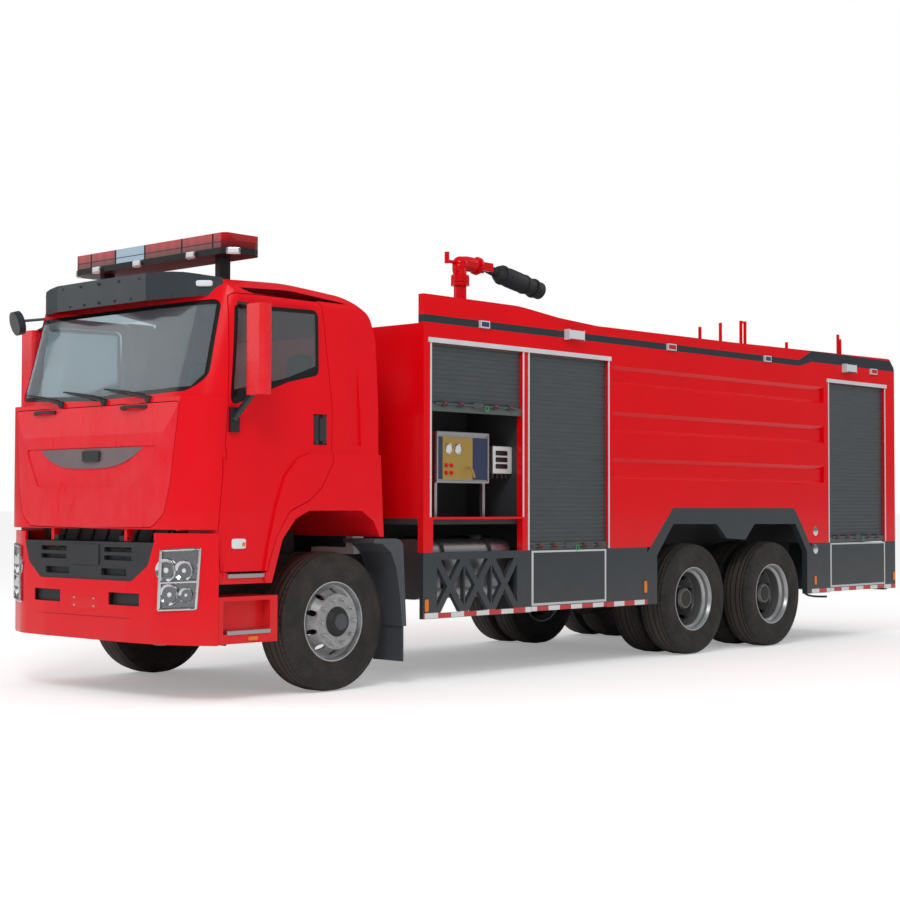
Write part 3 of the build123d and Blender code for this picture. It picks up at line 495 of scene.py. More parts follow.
# forms
class Form:
    # gathers closed grids of points (rows, columns, 3) into one mesh, facing outward
    def __init__(self):
        self.points, self.faces, self.marks, self.count = [], [], [], 0

    def add(self, grid, mark=0):
        # columns wrap round, the first and last row are closed by a fan
        rows, columns = grid.shape[:2]
        ends = np.stack([grid[0].mean(0), grid[-1].mean(0)])
        points = np.concatenate([grid.reshape(-1, 3), ends])
        r, c = np.meshgrid(np.arange(rows - 1), np.arange(columns), indexing="ij")
        a, b = r * columns + c, r * columns + (c + 1) % columns
        quads = np.stack([a, b, b + columns, a + columns], -1).reshape(-1, 4)
        k = np.arange(columns)
        last = (rows - 1) * columns
        fans = np.concatenate([
            np.stack([(k + 1) % columns, k, np.full(columns, rows * columns)], -1),
            np.stack([last + k, last + (k + 1) % columns, np.full(columns, rows * columns + 1)], -1)])
        p = points
        volume = (np.einsum("ij,ij->i", p[quads[:, 0]], np.cross(p[quads[:, 1]], p[quads[:, 2]])).sum()
                  + np.einsum("ij,ij->i", p[quads[:, 0]], np.cross(p[quads[:, 2]], p[quads[:, 3]])).sum()
                  + np.einsum("ij,ij->i", p[fans[:, 0]], np.cross(p[fans[:, 1]], p[fans[:, 2]])).sum())
        if volume < 0:
            quads, fans = quads[:, ::-1], fans[:, ::-1]
        self.points.append(points)
        self.faces += (quads + self.count).tolist() + (fans + self.count).tolist()
        self.marks.append(np.full(len(quads) + len(fans), mark))
        self.count += len(points)
        return self

    def build(self, name, body, *materials, crease=40):
        mesh = bpy.data.meshes.new(name)
        mesh.from_pydata(np.concatenate(self.points), [], self.faces)
        for material in materials:
            mesh.materials.append(material)
        mesh.polygons.foreach_set("material_index", np.concatenate(self.marks))
        mesh.polygons.foreach_set("use_smooth", np.ones(len(mesh.polygons), bool))
        mesh.set_sharp_from_angle(angle=math.radians(crease))
        mesh.update()
        made = bpy.data.objects.new(name, mesh)
        bpy.context.scene.collection.objects.link(made)
        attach(made, body)
        return made


def at(x, station, z):
    # a place given as x, station behind the front axle and height
    return np.array([x, station + frontAxle, z], float)


def frameFor(axis):
    # the unit axis and two directions square to it
    axis = np.asarray(axis, float) / np.linalg.norm(axis)
    helper = np.array([0, 0, 1.0]) if abs(axis[2]) < 0.9 else np.array([1.0, 0, 0])
    first = np.cross(helper, axis)
    first /= np.linalg.norm(first)
    return axis, first, np.cross(axis, first)


def lathe(centre, axis, profile, steps=32):
    # profile rows of (distance along the axis, radius), turned about the axis through the centre
    axis, first, second = frameFor(axis)
    profile = np.asarray(profile, float)
    turn = np.linspace(0, 2 * np.pi, steps, endpoint=False)
    ring = np.cos(turn)[:, None] * first + np.sin(turn)[:, None] * second
    return (np.asarray(centre) + profile[:, :1, None] * axis + profile[:, 1:, None] * ring[None])


def tube(path, radius, sides=10):
    # a circle carried along the path, square to its direction at every point
    path = np.asarray(path, float)
    along = np.gradient(path, axis=0)
    along /= np.linalg.norm(along, axis=1, keepdims=True)
    helper = np.array([0, 0, 1.0]) if abs(along[:, 2]).max() < 0.95 else np.array([0.6, 0.8, 0.0])
    first = np.cross(along, helper)
    first /= np.linalg.norm(first, axis=1, keepdims=True)
    second = np.cross(along, first)
    turn = np.linspace(0, 2 * np.pi, sides, endpoint=False)
    radius = np.broadcast_to(radius, len(path))[:, None, None]
    return path[:, None] + radius * (np.cos(turn)[None, :, None] * first[:, None]
                                     + np.sin(turn)[None, :, None] * second[:, None])


def pad(centre, half, square=5.0, rows=12, columns=28, turn=0.0, lean=0.0):
    # a box whose corners are rounded by a power law, turned about Z then leaned about X
    u = np.linspace(-np.pi / 2 + 0.02, np.pi / 2 - 0.02, rows)[:, None]
    v = np.linspace(-np.pi, np.pi, columns, endpoint=False)[None]
    bend = 2 / square
    powered = lambda w: np.sign(w) * abs(w) ** bend
    x = powered(np.cos(u)) * powered(np.cos(v)) * half[0]
    y = powered(np.cos(u)) * powered(np.sin(v)) * half[1]
    z = powered(np.sin(u)) * half[2] + 0 * v
    c, s = math.cos(lean), math.sin(lean)
    y, z = y * c - z * s, y * s + z * c
    c, s = math.cos(turn), math.sin(turn)
    x, y = x * c - y * s, x * s + y * c
    return np.stack([x, y, z], -1) + np.asarray(centre)


def smoothPath(points, steps=24):
    # rounds a polyline by blending its points with a cubic basis
    points = np.asarray(points, float)
    points = np.concatenate([points[:1], points[:1], points, points[-1:], points[-1:]])
    t = np.linspace(0, len(points) - 3 - 1e-6, steps)
    i = t.astype(int)
    f = (t - i)[:, None]
    p = [points[i + k] for k in range(4)]
    return ((1 - f) ** 3 * p[0] + (3 * f ** 3 - 6 * f ** 2 + 4) * p[1]
            + (-3 * f ** 3 + 3 * f ** 2 + 3 * f + 1) * p[2] + f ** 3 * p[3]) / 6


chrome = metalMaterial("chrome", (0.78, 0.79, 0.80), 0.06, (1, 1, 1))
amberLens = redMaterial("amberLens", (0.85, 0.22, 0.01))
whiteLens = plasticMaterial("whiteLens", (0.70, 0.72, 0.74), 0.15)
goldPlate = metalMaterial("goldPlate", (0.62, 0.42, 0.12), 0.35, (1, 30, 1), 0.7)
fadedGrey = plasticMaterial("fadedGrey", (0.16, 0.12, 0.13), 0.45)
darkGlass = plasticMaterial("darkGlass", (0.012, 0.016, 0.022), 0.08)
navyPlastic = plasticMaterial("navyPlastic", (0.02, 0.035, 0.09), 0.4)
whitePanel = plasticMaterial("whitePanel", (0.62, 0.63, 0.62), 0.35)
greenRing = plasticMaterial("greenRing", (0.02, 0.35, 0.08), 0.4)
brightRed = redMaterial("brightRedCap", (0.70, 0.006, 0.01))

# wheels
wheels = {"nuts": 10, "pitch": 0.1675, "nutRadius": 0.0165, "nutHeight": 0.030,
          "frontFace": 1.197, "rearFace": 0.937, "frontHub": 1.197, "rearHub": 1.11}
nutProfile = [(-0.004, 1.25), (0.003, 1.25), (0.004, 1.0), (0.022, 1.0), (0.029, 0.72), (0.031, 0.3)]
frontHub = [(0, 0.112), (0.004, 0.112), (0.012, 0.104), (0.034, 0.088), (0.041, 0.080), (0.043, 0.05)]
frontCap = [(0.041, 0.062), (0.047, 0.060), (0.050, 0.050), (0.051, 0.02)]
rearHub = [(0.0, 0.085), (0.018, 0.083), (0.022, 0.07), (0.024, 0.02)]


def nutsOn(form, face, station, side):
    # six sided nuts on a circle round the axle, each a turned profile
    for k in range(wheels["nuts"]):
        turn = 2 * math.pi * (k + 0.5) / wheels["nuts"]
        place = at(face * side, station + wheels["pitch"] * math.sin(turn),
                   axleHeight + wheels["pitch"] * math.cos(turn))
        profile = [(a, r * wheels["nutRadius"]) for a, r in nutProfile]
        form.add(lathe(place, (side, 0, 0), profile, steps=6))


for side, name in ((1, "left"), (-1, "right")):
    form = Form()
    nutsOn(form, wheels["frontFace"], 0, side)
    hub = at(wheels["frontHub"] * side, 0, axleHeight)
    form.add(lathe(hub, (side, 0, 0), frontHub, 40), mark=1)
    form.add(lathe(hub, (side, 0, 0), frontCap), mark=2)
    form.build(f"front_wheel_nuts_{name}", f"wheel_front_{name}", silverPaint, chassisBlack, greyPlastic)
    for row, station in rearAxles.items():
        form = Form()
        nutsOn(form, wheels["rearFace"], station, side)
        hub = at(wheels["rearHub"] * side, station, axleHeight)
        form.add(lathe(hub, (side, 0, 0), rearHub), mark=1)
        form.build(f"rear_wheel_nuts_{row}_{name}", f"wheels_rear_{row}_{name}", silverPaint, castIron)
print("wheel nuts and hubs")

# cab front
wiper = {"pivots": (-0.40, 0.14, 0.66), "blade": 0.50, "reach": 0.30}


def frontY(x, z):
    # station of the cab's front surface: bowed in plan, leaning back above 2.15 m
    bow = 0.022 * np.clip(abs(x) - 0.5, 0, None) / 0.4 + 0.55 * np.clip(abs(x) - 0.86, 0, None) ** 2
    lean = 0.279 * np.clip(np.asarray(z) - 2.15, 0, None)
    base = np.interp(z, [1.2, 1.5, 1.9, 2.15, 3.0], [-1.400, -1.402, -1.380, -1.345, -1.345])
    return base + lean + bow


form = Form()
for pivot in wiper["pivots"]:
    z0 = 2.142
    form.add(lathe(at(pivot, frontY(pivot, z0) - 0.004, z0), (0, -1, 0.1),
                   [(-0.01, 0.026), (0.02, 0.026), (0.030, 0.018), (0.034, 0.006)], 20))
    reach = np.linspace(0, 1, 12)
    armX, armZ = pivot - wiper["reach"] * reach, z0 + 0.012 + 0.055 * reach
    arm = np.stack([armX, frontY(armX, armZ) - 0.030 - 0.012 * np.sin(reach * np.pi) + frontAxle, armZ], -1)
    form.add(tube(arm, np.linspace(0.013, 0.007, 12), 8))
    t = np.linspace(-1, 1, 20)
    bladeX = pivot - wiper["reach"] + t * wiper["blade"] / 2
    bladeZ = z0 + 0.067 + t * -0.030
    blade = np.stack([bladeX, frontY(bladeX, bladeZ) - 0.014 + frontAxle, bladeZ], -1)
    form.add(tube(blade, 0.0085 * (1.15 - 0.6 * abs(t) ** 3), 8))
form.build("wipers", "cab", blackPlastic)

form = Form()
for x in (-0.62, 0.50):
    ends = np.array([[x - 0.13, 2.088], [x - 0.12, 2.089], [x, 2.092], [x + 0.12, 2.091], [x + 0.13, 2.088]])
    out = np.array([0.0, 0.03, 0.038, 0.03, 0.0])
    bar = np.stack([ends[:, 0], frontY(ends[:, 0], ends[:, 1]) - out + frontAxle, ends[:, 1]], -1)
    form.add(tube(smoothPath(bar, 20), 0.012, 10))
    for end in (-0.12, 0.12):
        form.add(pad(at(x + end, frontY(x + end, 2.09) - 0.008, 2.088), (0.028, 0.014, 0.014)))
form.build("panel_grips", "front_panel", blackPlastic)

smile = {"half": 0.66, "top": 1.802, "deep": 0.135, "slot": (0.04, -1.396, 1.745),
         "slotHalf": (0.105, 0.012, 0.040)}
t = np.linspace(-1, 1, 60)
form = Form()
low = smile["top"] - 0.012 - smile["deep"] * (1 - abs(t) ** 3.2)
ring = []
for level, out in ((0, 0.004), (0, -0.004), (1, -0.004), (1, 0.004)):
    z = smile["top"] * (1 - level) + low * level
    x = t * smile["half"] * (1 - 0.06 * level)
    ring.append(np.stack([x, frontY(x, z) + 0.0065 + out + frontAxle, z], -1))
form.add(np.stack(ring, 1))
form.add(pad(at(*smile["slot"]), smile["slotHalf"], 8), mark=1)
form.build("panel_smile", "front_panel", fadedGrey, blackPlastic)

# dark sheets of painted shade behind the gap, the slots and the grille, with slanting rods in the gap
shadeSheetsAndRods = {"sheets": (((0, -1.215, 1.196), (0.80, 0.012, 0.075), 12),
                     ((0, -1.372, 0.70), (0.66, 0.006, 0.080), 16),
                     ((0, -1.368, 0.965), (0.60, 0.006, 0.110), 16)),
          "rods": 9, "firstRod": -0.72, "pitch": 0.18, "rod": ((0, -1.235, 1.13), (0.06, -1.235, 1.26))}
form = Form()
# the sheets are painted shade behind the openings
for centre, half, square in shadeSheetsAndRods["sheets"]:
    form.add(pad(at(*centre), half, square))
for k in range(shadeSheetsAndRods["rods"]):
    ends = np.array([at(*end) for end in shadeSheetsAndRods["rod"]])
    ends[:, 0] += shadeSheetsAndRods["firstRod"] + shadeSheetsAndRods["pitch"] * k
    form.add(tube(np.linspace(*ends, 4), 0.010, 6))
form.build("grille_shade_sheets", "chassis", blackPlastic)

visor = {"rows": ((2.885, 11), (3.025, 9)), "reach": 0.95, "lamp": (0.985, -1.112, 2.965),
         "plan": ((-1.06, -1.045), (-0.86, -1.19), (-0.54, -1.296), (0, -1.318), (0.54, -1.296),
                  (0.86, -1.19), (1.06, -1.045)),
         "fastener": [(0, 0.010), (0.008, 0.010), (0.013, 0.006), (0.014, 0.002)]}
plan = np.array(visor["plan"])
form = Form()
for z, count in visor["rows"]:
    for x in np.linspace(-visor["reach"], visor["reach"], count):
        station = np.interp(x, plan[:, 0], plan[:, 1])
        form.add(lathe(at(x, station + 0.004, z), (0, -1, 0.1), visor["fastener"], 8))
form.add(pad(at(*visor["lamp"]), (0.060, 0.020, 0.022), turn=0.75), mark=1)
form.build("visor_fasteners", "cab", blackPlastic, whiteLens)

# small white lamps in bright frames below the bar's lenses: x, station and turn
barLamps = {"height": 3.234, "half": (0.052, 0.016, 0.026), "proud": 0.006,
            "places": ((-0.62, -0.886, 0), (-0.10, -0.886, 0), (0.55, -0.886, 0),
                       (0.955, -0.822, 0.75), (-0.955, -0.822, -0.75))}
wide, thick, tall = barLamps["half"]
form = Form()
for x, station, turn in barLamps["places"]:
    place = at(x, station, barLamps["height"])
    form.add(pad(place, (wide, thick, tall), 8, turn=turn), mark=1)
    outward = np.array([math.sin(turn), -math.cos(turn), 0]) * barLamps["proud"]
    form.add(pad(place + outward, (wide * 0.78, thick, tall * 0.70), 8, turn=turn))
form.build("bar_lamps", "cab", whiteLens, chrome)

# bowls as x, height and radius; frame corners as x and height
headlamp = {"bowls": ((0.905, 0.93, 0.082), (1.035, 0.93, 0.070), (0.93, 0.76, 0.075), (1.05, 0.76, 0.052)),
            "frame": [(0.858, 0.652), (1.118, 0.668), (1.142, 1.083), (0.872, 1.068), (0.858, 0.652)],
            "frameRadius": 0.012, "bar": ((0.868, 0.845), (1.13, 0.860)), "barRadius": 0.014}


def lampY(x):
    # station of the bumper's swept face, straight between four points in plan
    return np.interp(x, [0.5, 0.85, 1.07, 1.25], [-1.42, -1.395, -1.30, -1.19])


form = Form()
for side in (1, -1):
    for x, z, radius in headlamp["bowls"]:
        facing = np.array([0.30 * side if x < 1.0 else 0.5 * side, -1, 0])
        facing /= np.linalg.norm(facing)
        place = at(x * side, lampY(x), z) + facing * 0.004
        bowl = [(-0.03, radius * 0.95), (0.004, radius * 1.04), (0.010, radius * 1.0), (0.006, radius * 0.9),
                (-0.014, radius * 0.6), (-0.022, radius * 0.25)]
        form.add(lathe(place, facing, bowl, 32))
        form.add(lathe(place, facing, [(-0.026, radius * 0.26), (-0.002, radius * 0.24),
                                       (0.004, radius * 0.16), (0.005, 0.002)], 20), mark=1)
    corners = np.array(headlamp["frame"])
    edge = [np.linspace(corners[k], corners[k + 1], 8, endpoint=False) for k in range(4)]
    edge = np.concatenate(edge + [corners[:1]])
    rim = np.stack([edge[:, 0] * side, lampY(edge[:, 0]) - 0.006 + frontAxle, edge[:, 1]], -1)
    form.add(tube(rim, headlamp["frameRadius"], 8))
    bar = np.linspace(*headlamp["bar"], 10)
    bar = np.stack([bar[:, 0] * side, lampY(bar[:, 0]) - 0.004 + frontAxle, bar[:, 1]], -1)
    form.add(tube(bar, headlamp["barRadius"], 8))
form.build("headlamp_insides", "chassis", chrome, whiteLens)

plateHolder = {"place": (0, -1.4125, 0.683), "half": (0.175, 0.0085, 0.048), "screwStation": -1.4185,
               "screwX": (-0.12, 0.12), "screwZ": (0.71, 0.655),
               "screw": [(-0.004, 0.011), (0.002, 0.010), (0.003, 0.005), (0.0032, 0.001)]}
form = Form()
for z in plateHolder["screwZ"]:
    for x in plateHolder["screwX"]:
        place = at(x, plateHolder["screwStation"], z)
        form.add(lathe(place, (0, -1, 0), plateHolder["screw"], 12), mark=1)
form.add(pad(at(*plateHolder["place"]), plateHolder["half"], 8))
form.build("plate_holder", "chassis", redCab, chrome)
print("cab front details")

# steps, markers and side lamps
tread = {"pitch": 0.022, "rise": 0.007, "points": 80, "markerAt": (1.243, -0.86, 0.447),
         "markerHalf": (0.006, 0.045, 0.014)}
treads = (("lower", "chassis", 1.135, 1.246, -1.10, -0.70, 0.492),
          ("upper", "cab", 1.10, 1.236, -1.085, -0.750, 0.888))
for part, body, x0, x1, y0, y1, z in treads:
    form = Form()
    for side in (1, -1):
        # a bar of saw teeth along the step
        n = tread["points"]
        t = np.linspace(0, 1, n)
        teeth = tread["rise"] * (abs((t * (y1 - y0) / tread["pitch"]) % 1 - 0.5) * 2)
        ring = np.array([(x0, -0.010), (x1, -0.012), (x1, 0.012), (x0, 0.010)])
        grid = np.stack([np.broadcast_to(ring[None, :, 0] * side, (n, 4)),
                         np.broadcast_to((y0 + t * (y1 - y0) + frontAxle)[:, None], (n, 4)),
                         z + ring[None, :, 1] + teeth[:, None] * np.array([0, 0, 1, 1])], -1)
        form.add(grid)
        if part == "lower":
            x, station, height = tread["markerAt"]
            form.add(pad(at(x * side, station, height), tread["markerHalf"]), mark=1)
    form.build(f"{part}_step_treads", body, brushedAluminium, amberLens, crease=20)

# amber lamps as station, height and half height; two filler caps over a dark oval, one drain pipe
marker = {"lamps": ((0.910, 0.605, 0.050), (3.790, 0.66, 0.055), (6.743, 0.634, 0.045), (8.40, 0.634, 0.050)),
          "capStation": 6.755, "capHeights": (1.141, 0.956), "oval": (0.003, 0.082, 0.192),
          "cap": [(0, 0.072), (0.006, 0.072), (0.014, 0.060), (0.012, 0.052), (0.016, 0.044), (0.018, 0.012)],
          "drain": ((1.10, 6.74, 0.56), (1.10, 6.76, 0.48), (1.14, 6.90, 0.455), (1.17, 7.10, 0.450))}
form = Form()
for side in (1, -1):
    for station, z, tall in marker["lamps"]:
        form.add(pad(at(1.249 * side, station, z), (0.010, 0.022, tall)), mark=1)
        form.add(pad(at(1.246 * side, station, z), (0.007, 0.030, tall + 0.009)))
    form.add(pad(at(1.237 * side, marker["capStation"], 1.050), marker["oval"], 2.6))
    drain = [at(x * side, station, z) for x, station, z in marker["drain"]]
    form.add(tube(smoothPath(drain, 14), 0.011, 8))
    for z in marker["capHeights"]:
        form.add(lathe(at(1.236 * side, marker["capStation"], z), (side, 0, 0), marker["cap"], 32), mark=2)
form.build("side_markers", "chassis", blackPlastic, amberLens, chrome)

doorLamp = [(0, 0.017), (0.004, 0.015), (0.005, 0.004)]
for side, name in ((1, "left"), (-1, "right")):
    form = Form()
    form.add(pad(at(1.222 * side, -0.984, 1.116), (0.014, 0.064, 0.036), 6))
    form.add(lathe(at(1.234 * side, -0.945, 1.112), (side, 0, 0), doorLamp, 16), mark=1)
    form.add(pad(at(1.222 * side, -0.209, 1.948), (0.012, 0.063, 0.111), 6), mark=2)
    form.add(pad(at(1.236 * side, -0.209, 1.948), (0.010, 0.016, 0.085), 4), mark=2)
    form.build(f"door_fittings_{name}", f"door_{name}", whiteLens, amberLens, blackPlastic)
print("treads, markers and door fittings")

# half open locker
control = {"front": 1.172, "back": 1.806, "low": 1.576, "high": 1.990, "edge": 0.018, "middle": 1.775,
           "plate": (1.425, 0.180), "labels": ((1.214, 0.026), (1.698, 0.088)), "half": 0.172,
           "gauges": ((1.313, 1.850), (1.424, 1.850)),
           "buttons": ((1.285, 1.716), (1.346, 1.716), (1.285, 1.656), (1.346, 1.656)),
           "lever": ((1.106, 1.547, 1.70), (1.150, 1.547, 1.70), (1.165, 1.555, 1.65), (1.165, 1.565, 1.62))}
gaugeRim = [(0, 0.043), (0.012, 0.043), (0.014, 0.038), (0.009, 0.036), (0.009, 0.005)]
gaugeDial = [(0, 0.035), (0.002, 0.034), (0.0025, 0.003)]
button = [(0, 0.017), (0.012, 0.017), (0.018, 0.011), (0.019, 0.002)]
front, back, low, high, edge = (control[k] for k in ("front", "back", "low", "high", "edge"))
form = Form()
for y0, y1, z0, z1 in ((front, back, high - edge, high), (front, back, low, low + edge),
                       (front, front + edge, low, high), (back - edge, back, low, high)):
    form.add(pad(at(1.104, (y0 + y1) / 2, (z0 + z1) / 2), (0.008, (y1 - y0) / 2, (z1 - z0) / 2), 12))
station, half = control["plate"]
form.add(pad(at(1.103, station, control["middle"]), (0.005, half, control["half"]), 40), mark=1)
for station, half in control["labels"]:
    form.add(pad(at(1.102, station, control["middle"]), (0.004, half, control["half"]), 40), mark=2)
for station, z in control["gauges"]:
    form.add(lathe(at(1.106, station, z), (1, 0, 0), gaugeRim, 28), mark=3)
    form.add(lathe(at(1.114, station, z), (1, 0, 0), gaugeDial, 28), mark=4)
for station, z in control["buttons"]:
    form.add(lathe(at(1.106, station, z), (1, 0, 0), button, 16), mark=5)
lever = smoothPath([at(*place) for place in control["lever"]])
form.add(tube(lever, 0.009), mark=1)
form.build("control_panel_face", "chassis", brushedAluminium, goldPlate, navyPlastic, chrome, whitePanel,
           brightRed)

controller = {"place": (1.105, 1.971, 1.773), "half": (0.012, 0.118, 0.112), "screens": (1.83, 1.775, 1.72),
              "screenHalf": (0.004, 0.075, 0.020), "glands": (1.89, 1.95, 2.01, 2.06),
              "gland": [(0, 0.014), (0.03, 0.014), (0.04, 0.010), (0.041, 0.003)]}
form = Form()
form.add(pad(at(*controller["place"]), controller["half"], 30))
for z in controller["screens"]:
    form.add(pad(at(1.117, 1.955, z), controller["screenHalf"], 10), mark=1)
for station in controller["glands"]:
    form.add(lathe(at(1.07, station, 1.660), (0, 0, -1), controller["gland"], 10), mark=2)
form.build("controller_face", "chassis", whitePanel, darkGlass, blackPlastic)

# a bar at each shutter's foot, as station, height and half length, with four black latches and a green ring
latch = {"bars": ((1.515, 2.200, 0.50), (2.698, 1.052, 0.50), (7.621, 1.075, 0.52)), "closedHeight": 1.33,
         "latchesAt": (-0.80, -0.42, 0.42, 0.80), "barRadius": 0.011, "ringRadius": 0.020}
form = Form()
for side in (1, -1):
    for station, z, reach in latch["bars"]:
        if side == -1 and z > 2:
            z = latch["closedHeight"]  # the right front shutter is down
        ends = at(1.243 * side, station - reach, z), at(1.243 * side, station + reach, z)
        form.add(tube(np.linspace(*ends, 6), latch["barRadius"], 8))
        form.add(pad(at(1.246 * side, station, z), (0.012, 0.060, 0.022)))
        for away in latch["latchesAt"]:
            place = at(1.244 * side, station + away * reach, z)
            form.add(pad(place, (0.012, 0.036, 0.020)), mark=3)
            form.add(pad(place + (0.010 * side, 0.010, 0.008), (0.004, 0.012, 0.006)), mark=1)
        ring = np.linspace(0, 2 * np.pi, 21)
        loop = np.stack([0 * ring, np.cos(ring), np.sin(ring)], -1) * latch["ringRadius"]
        form.add(tube(at(1.256 * side, station + 0.10, z - 0.02) + loop, 0.004, 6), mark=2)
form.build("shutter_latches", "chassis", greyPlastic, brightRed, greenRing, blackPlastic)

# bands round the tank's section, which is a circle squared off by a power law, and its filler cap
bands = {"stations": (1.22, 1.79), "centre": (0.865, 0.880), "half": (0.272, 0.246), "power": 0.42,
         "from": -0.35, "to": np.pi / 2 + 0.9, "radius": 0.016, "cap": (1.0, 1.745, 1.118)}
tankCap = [(0, 0.058), (0.022, 0.058), (0.030, 0.052), (0.036, 0.030), (0.038, 0.004)]
form = Form()
for station in bands["stations"]:
    angle = np.linspace(bands["from"], bands["to"], 30)
    x = bands["centre"][0] + bands["half"][0] * np.sign(np.cos(angle)) * abs(np.cos(angle)) ** bands["power"]
    z = bands["centre"][1] + bands["half"][1] * np.sign(np.sin(angle)) * abs(np.sin(angle)) ** bands["power"]
    path = np.stack([x, np.full_like(x, station + frontAxle), z], -1)
    form.add(tube(path, bands["radius"], 8))
form.add(lathe(at(*bands["cap"]), (0, 0, 1), tankCap, 24))
form.build("tank_straps", "chassis", chassisBlack)
print("locker and shutter details")

# monitor: a pipe bend between two bolted flanges, and a turned sleeve round the barrel
monitor = {"bend": ((2.66, 3.47), (2.655, 3.52), (2.63, 3.585), (2.70, 3.622), (2.82, 3.618), (2.90, 3.605)),
           "bendRadius": 0.062, "bolts": 8, "boltCircle": 0.070, "pivot": (0, 3.0, 3.6),
           "aim": (0, 0.813, -0.143), "rings": (0.24, 0.56, 0.70)}
flange = [(-0.014, 0.084), (0.014, 0.084), (0.017, 0.078)]
flangeBolt = [(-0.022, 0.008), (0.022, 0.008), (0.025, 0.005)]
sleeve = [(0.16, 0.056), (0.175, 0.068), (0.20, 0.080), (0.34, 0.092), (0.48, 0.092), (0.62, 0.084),
          (0.72, 0.078), (0.725, 0.083), (0.80, 0.083), (0.806, 0.078), (0.812, 0.060)]
sleeveRing = [(-0.008, 0.094), (0.008, 0.094), (0.010, 0.086)]
form = Form()
bend = smoothPath([at(0, station, z) for station, z in monitor["bend"]], 28)
form.add(tube(bend, monitor["bendRadius"], 20))
for place, axis in ((at(0, 2.66, 3.478), (0, 0, 1)), (at(0, 2.885, 3.607), (0, 1, -0.2))):
    form.add(lathe(place, axis, flange, 28))
    first, second = frameFor(axis)[1:]
    for k in range(monitor["bolts"]):
        turn = 2 * math.pi * k / monitor["bolts"]
        spot = place + monitor["boltCircle"] * (math.cos(turn) * first + math.sin(turn) * second)
        form.add(lathe(spot, axis, flangeBolt, 6))
form.build("monitor_bend", "monitor_head", redSide)
aim = np.array(monitor["aim"])
aim /= np.linalg.norm(aim)
start = at(*monitor["pivot"])
form = Form()
form.add(lathe(start, aim, sleeve, 32))
for k in monitor["rings"]:
    form.add(lathe(start + aim * k, aim, sleeveRing, 32))
form.build("monitor_sleeve", "monitor_barrel", blackPlastic)
print("monitor bend and sleeve")

# seats
# cushion, back and head rest as station, height, half size and lean, with two sewn channels each
seatShape = {"middles": (-0.62, 0.62), "seam": 0.008, "seamWidth": 0.010, "seamAt": 0.55,
             "parts": ((-0.29, 1.63, (0.255, 0.265, 0.085), 0.0), (0.062, 2.03, (0.250, 0.075, 0.355), -0.22),
                       (0.125, 2.47, (0.130, 0.045, 0.090), -0.1))}
form = Form()
for middle in seatShape["middles"]:
    for station, z, half, lean in seatShape["parts"]:
        centre = at(middle, station, z)
        grid = pad(centre, half, 3.2, 40, 72, lean=lean)
        local = grid - centre
        away = (abs(local[..., 0]) - half[0] * seatShape["seamAt"]) / seatShape["seamWidth"]
        seam = np.exp(-away ** 2) * seatShape["seam"]
        length = np.linalg.norm(local, axis=-1, keepdims=True)
        form.add(grid - local / length * seam[..., None])
    form.add(pad(at(middle, -0.24, 1.485), (0.215, 0.235, 0.072), 8), mark=1)
seatObject = form.build("seat_covers", "cab", seatCloth, blackPlastic, crease=60)
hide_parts("seats")
print("seats")

# camera, light and floor
view = {"place": (10.485, -12.339, 1.367), "turn": 0.7468, "rise": 0.0343, "roll": 0.0021,
        "lens": 68.25}
ahead = Vector((-math.sin(view["turn"]) * math.cos(view["rise"]),
                math.cos(view["turn"]) * math.cos(view["rise"]), math.sin(view["rise"])))
across = Vector((math.cos(view["turn"]), math.sin(view["turn"]), 0))
upward = across.cross(ahead)
right = across * math.cos(view["roll"]) + upward * math.sin(view["roll"])
above = upward * math.cos(view["roll"]) - across * math.sin(view["roll"])
camera = bpy.data.objects.new("camera", bpy.data.cameras.new("camera"))
bpy.context.scene.collection.objects.link(camera)
camera.matrix_world = Matrix((right, above, -ahead)).transposed().to_4x4()
camera.location = view["place"]
camera.data.lens, camera.data.sensor_width = view["lens"], 36
bpy.context.scene.camera = camera

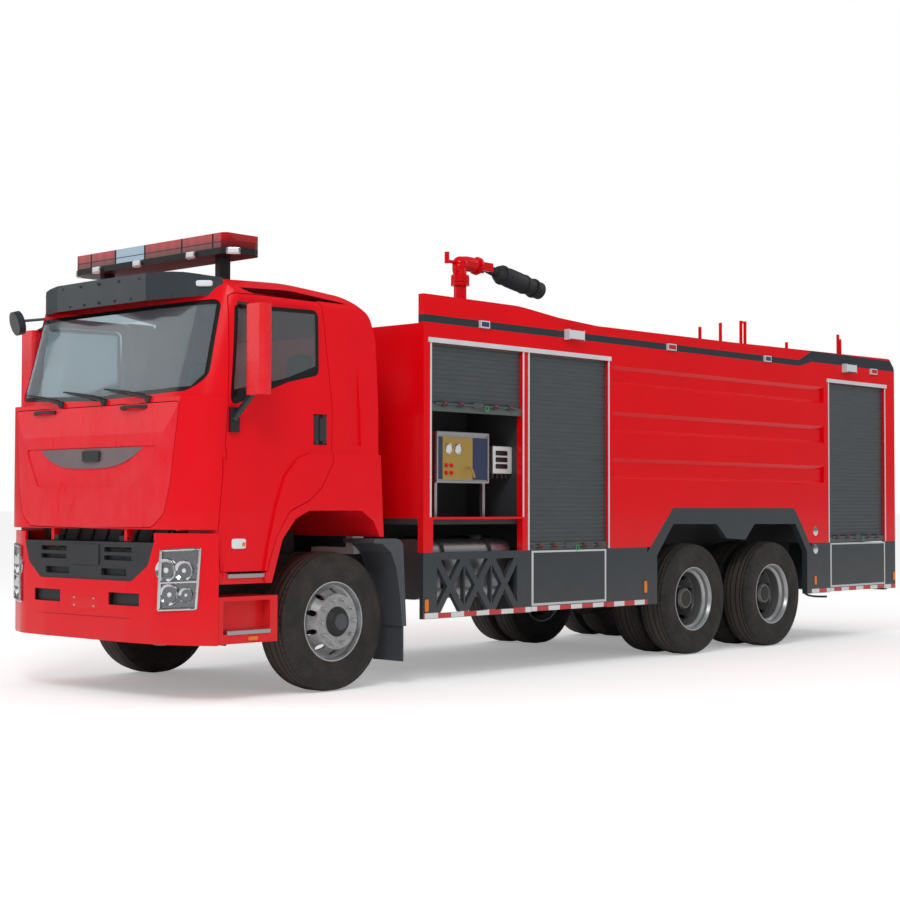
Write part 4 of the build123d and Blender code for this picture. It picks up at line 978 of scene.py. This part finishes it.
lights = {
    "key": dict(place=(9, -14, 13), size=5, power=950),
    "fill": dict(place=(-11, -13, 8), size=9, power=250),
    "rear": dict(place=(6, 14, 10), size=9, power=250)}
for name, spec in lights.items():
    lamp = bpy.data.lights.new(name, "AREA")
    lamp.size, lamp.energy = spec["size"], spec["power"]
    holder = bpy.data.objects.new(name, lamp)
    bpy.context.scene.collection.objects.link(holder)
    holder.location = spec["place"]
    holder.rotation_euler = (Vector((0, 0, 1.2)) - holder.location).to_track_quat("-Z", "Y").to_euler()

world = bpy.data.worlds.new("studio")
bpy.context.scene.world = world
world.use_nodes = True
tree = world.node_tree
tree.nodes.clear()
backdrop = tree.nodes.new("ShaderNodeBackground")
backdrop.inputs[0].default_value = (1, 1, 1, 1)
rays = tree.nodes.new("ShaderNodeLightPath")
# white to the camera and through glass, dimmer as light and in reflections
studio = {"light": 0.7, "dimmed": 0.50}
clearView = Wire(tree, rays.outputs["Is Camera Ray"]) + Wire(tree, rays.outputs["Is Transmission Ray"])
glossy = Wire(tree, rays.outputs["Is Glossy Ray"])
plug(tree, backdrop.inputs[1], clearView.unit() * (1 - studio["light"]) + studio["light"]
     - glossy * (1 - clearView.unit()) * studio["dimmed"])
out = tree.nodes.new("ShaderNodeOutputWorld")
tree.links.new(backdrop.outputs[0], out.inputs[0])

floorSize = 500
floorMesh = bpy.data.meshes.new("floor")
floorMesh.from_pydata([(-floorSize, -floorSize, 0), (floorSize, -floorSize, 0),
                       (floorSize, floorSize, 0), (-floorSize, floorSize, 0)], [], [(0, 1, 2, 3)])
floor = bpy.data.objects.new("floor", floorMesh)
bpy.context.scene.collection.objects.link(floor)
fin = Finish("paleFloor")
pale = fin.mix(fin.noise(0.6), (0.92, 0.92, 0.92), (0.95, 0.95, 0.95))
seen = fin.node("ShaderNodeLightPath", out="Is Camera Ray")
glow = fin.mix(seen, (0, 0, 0), (0.93, 0.93, 0.93))
floorMesh.materials.append(fin.surface(base_color=pale, roughness=0.8, specular_ior_level=0.1,
                                       emission_color=glow, emission_strength=0.30))
bpy.context.scene.view_settings.view_transform = "Standard"
print("camera, lights and floor in place")
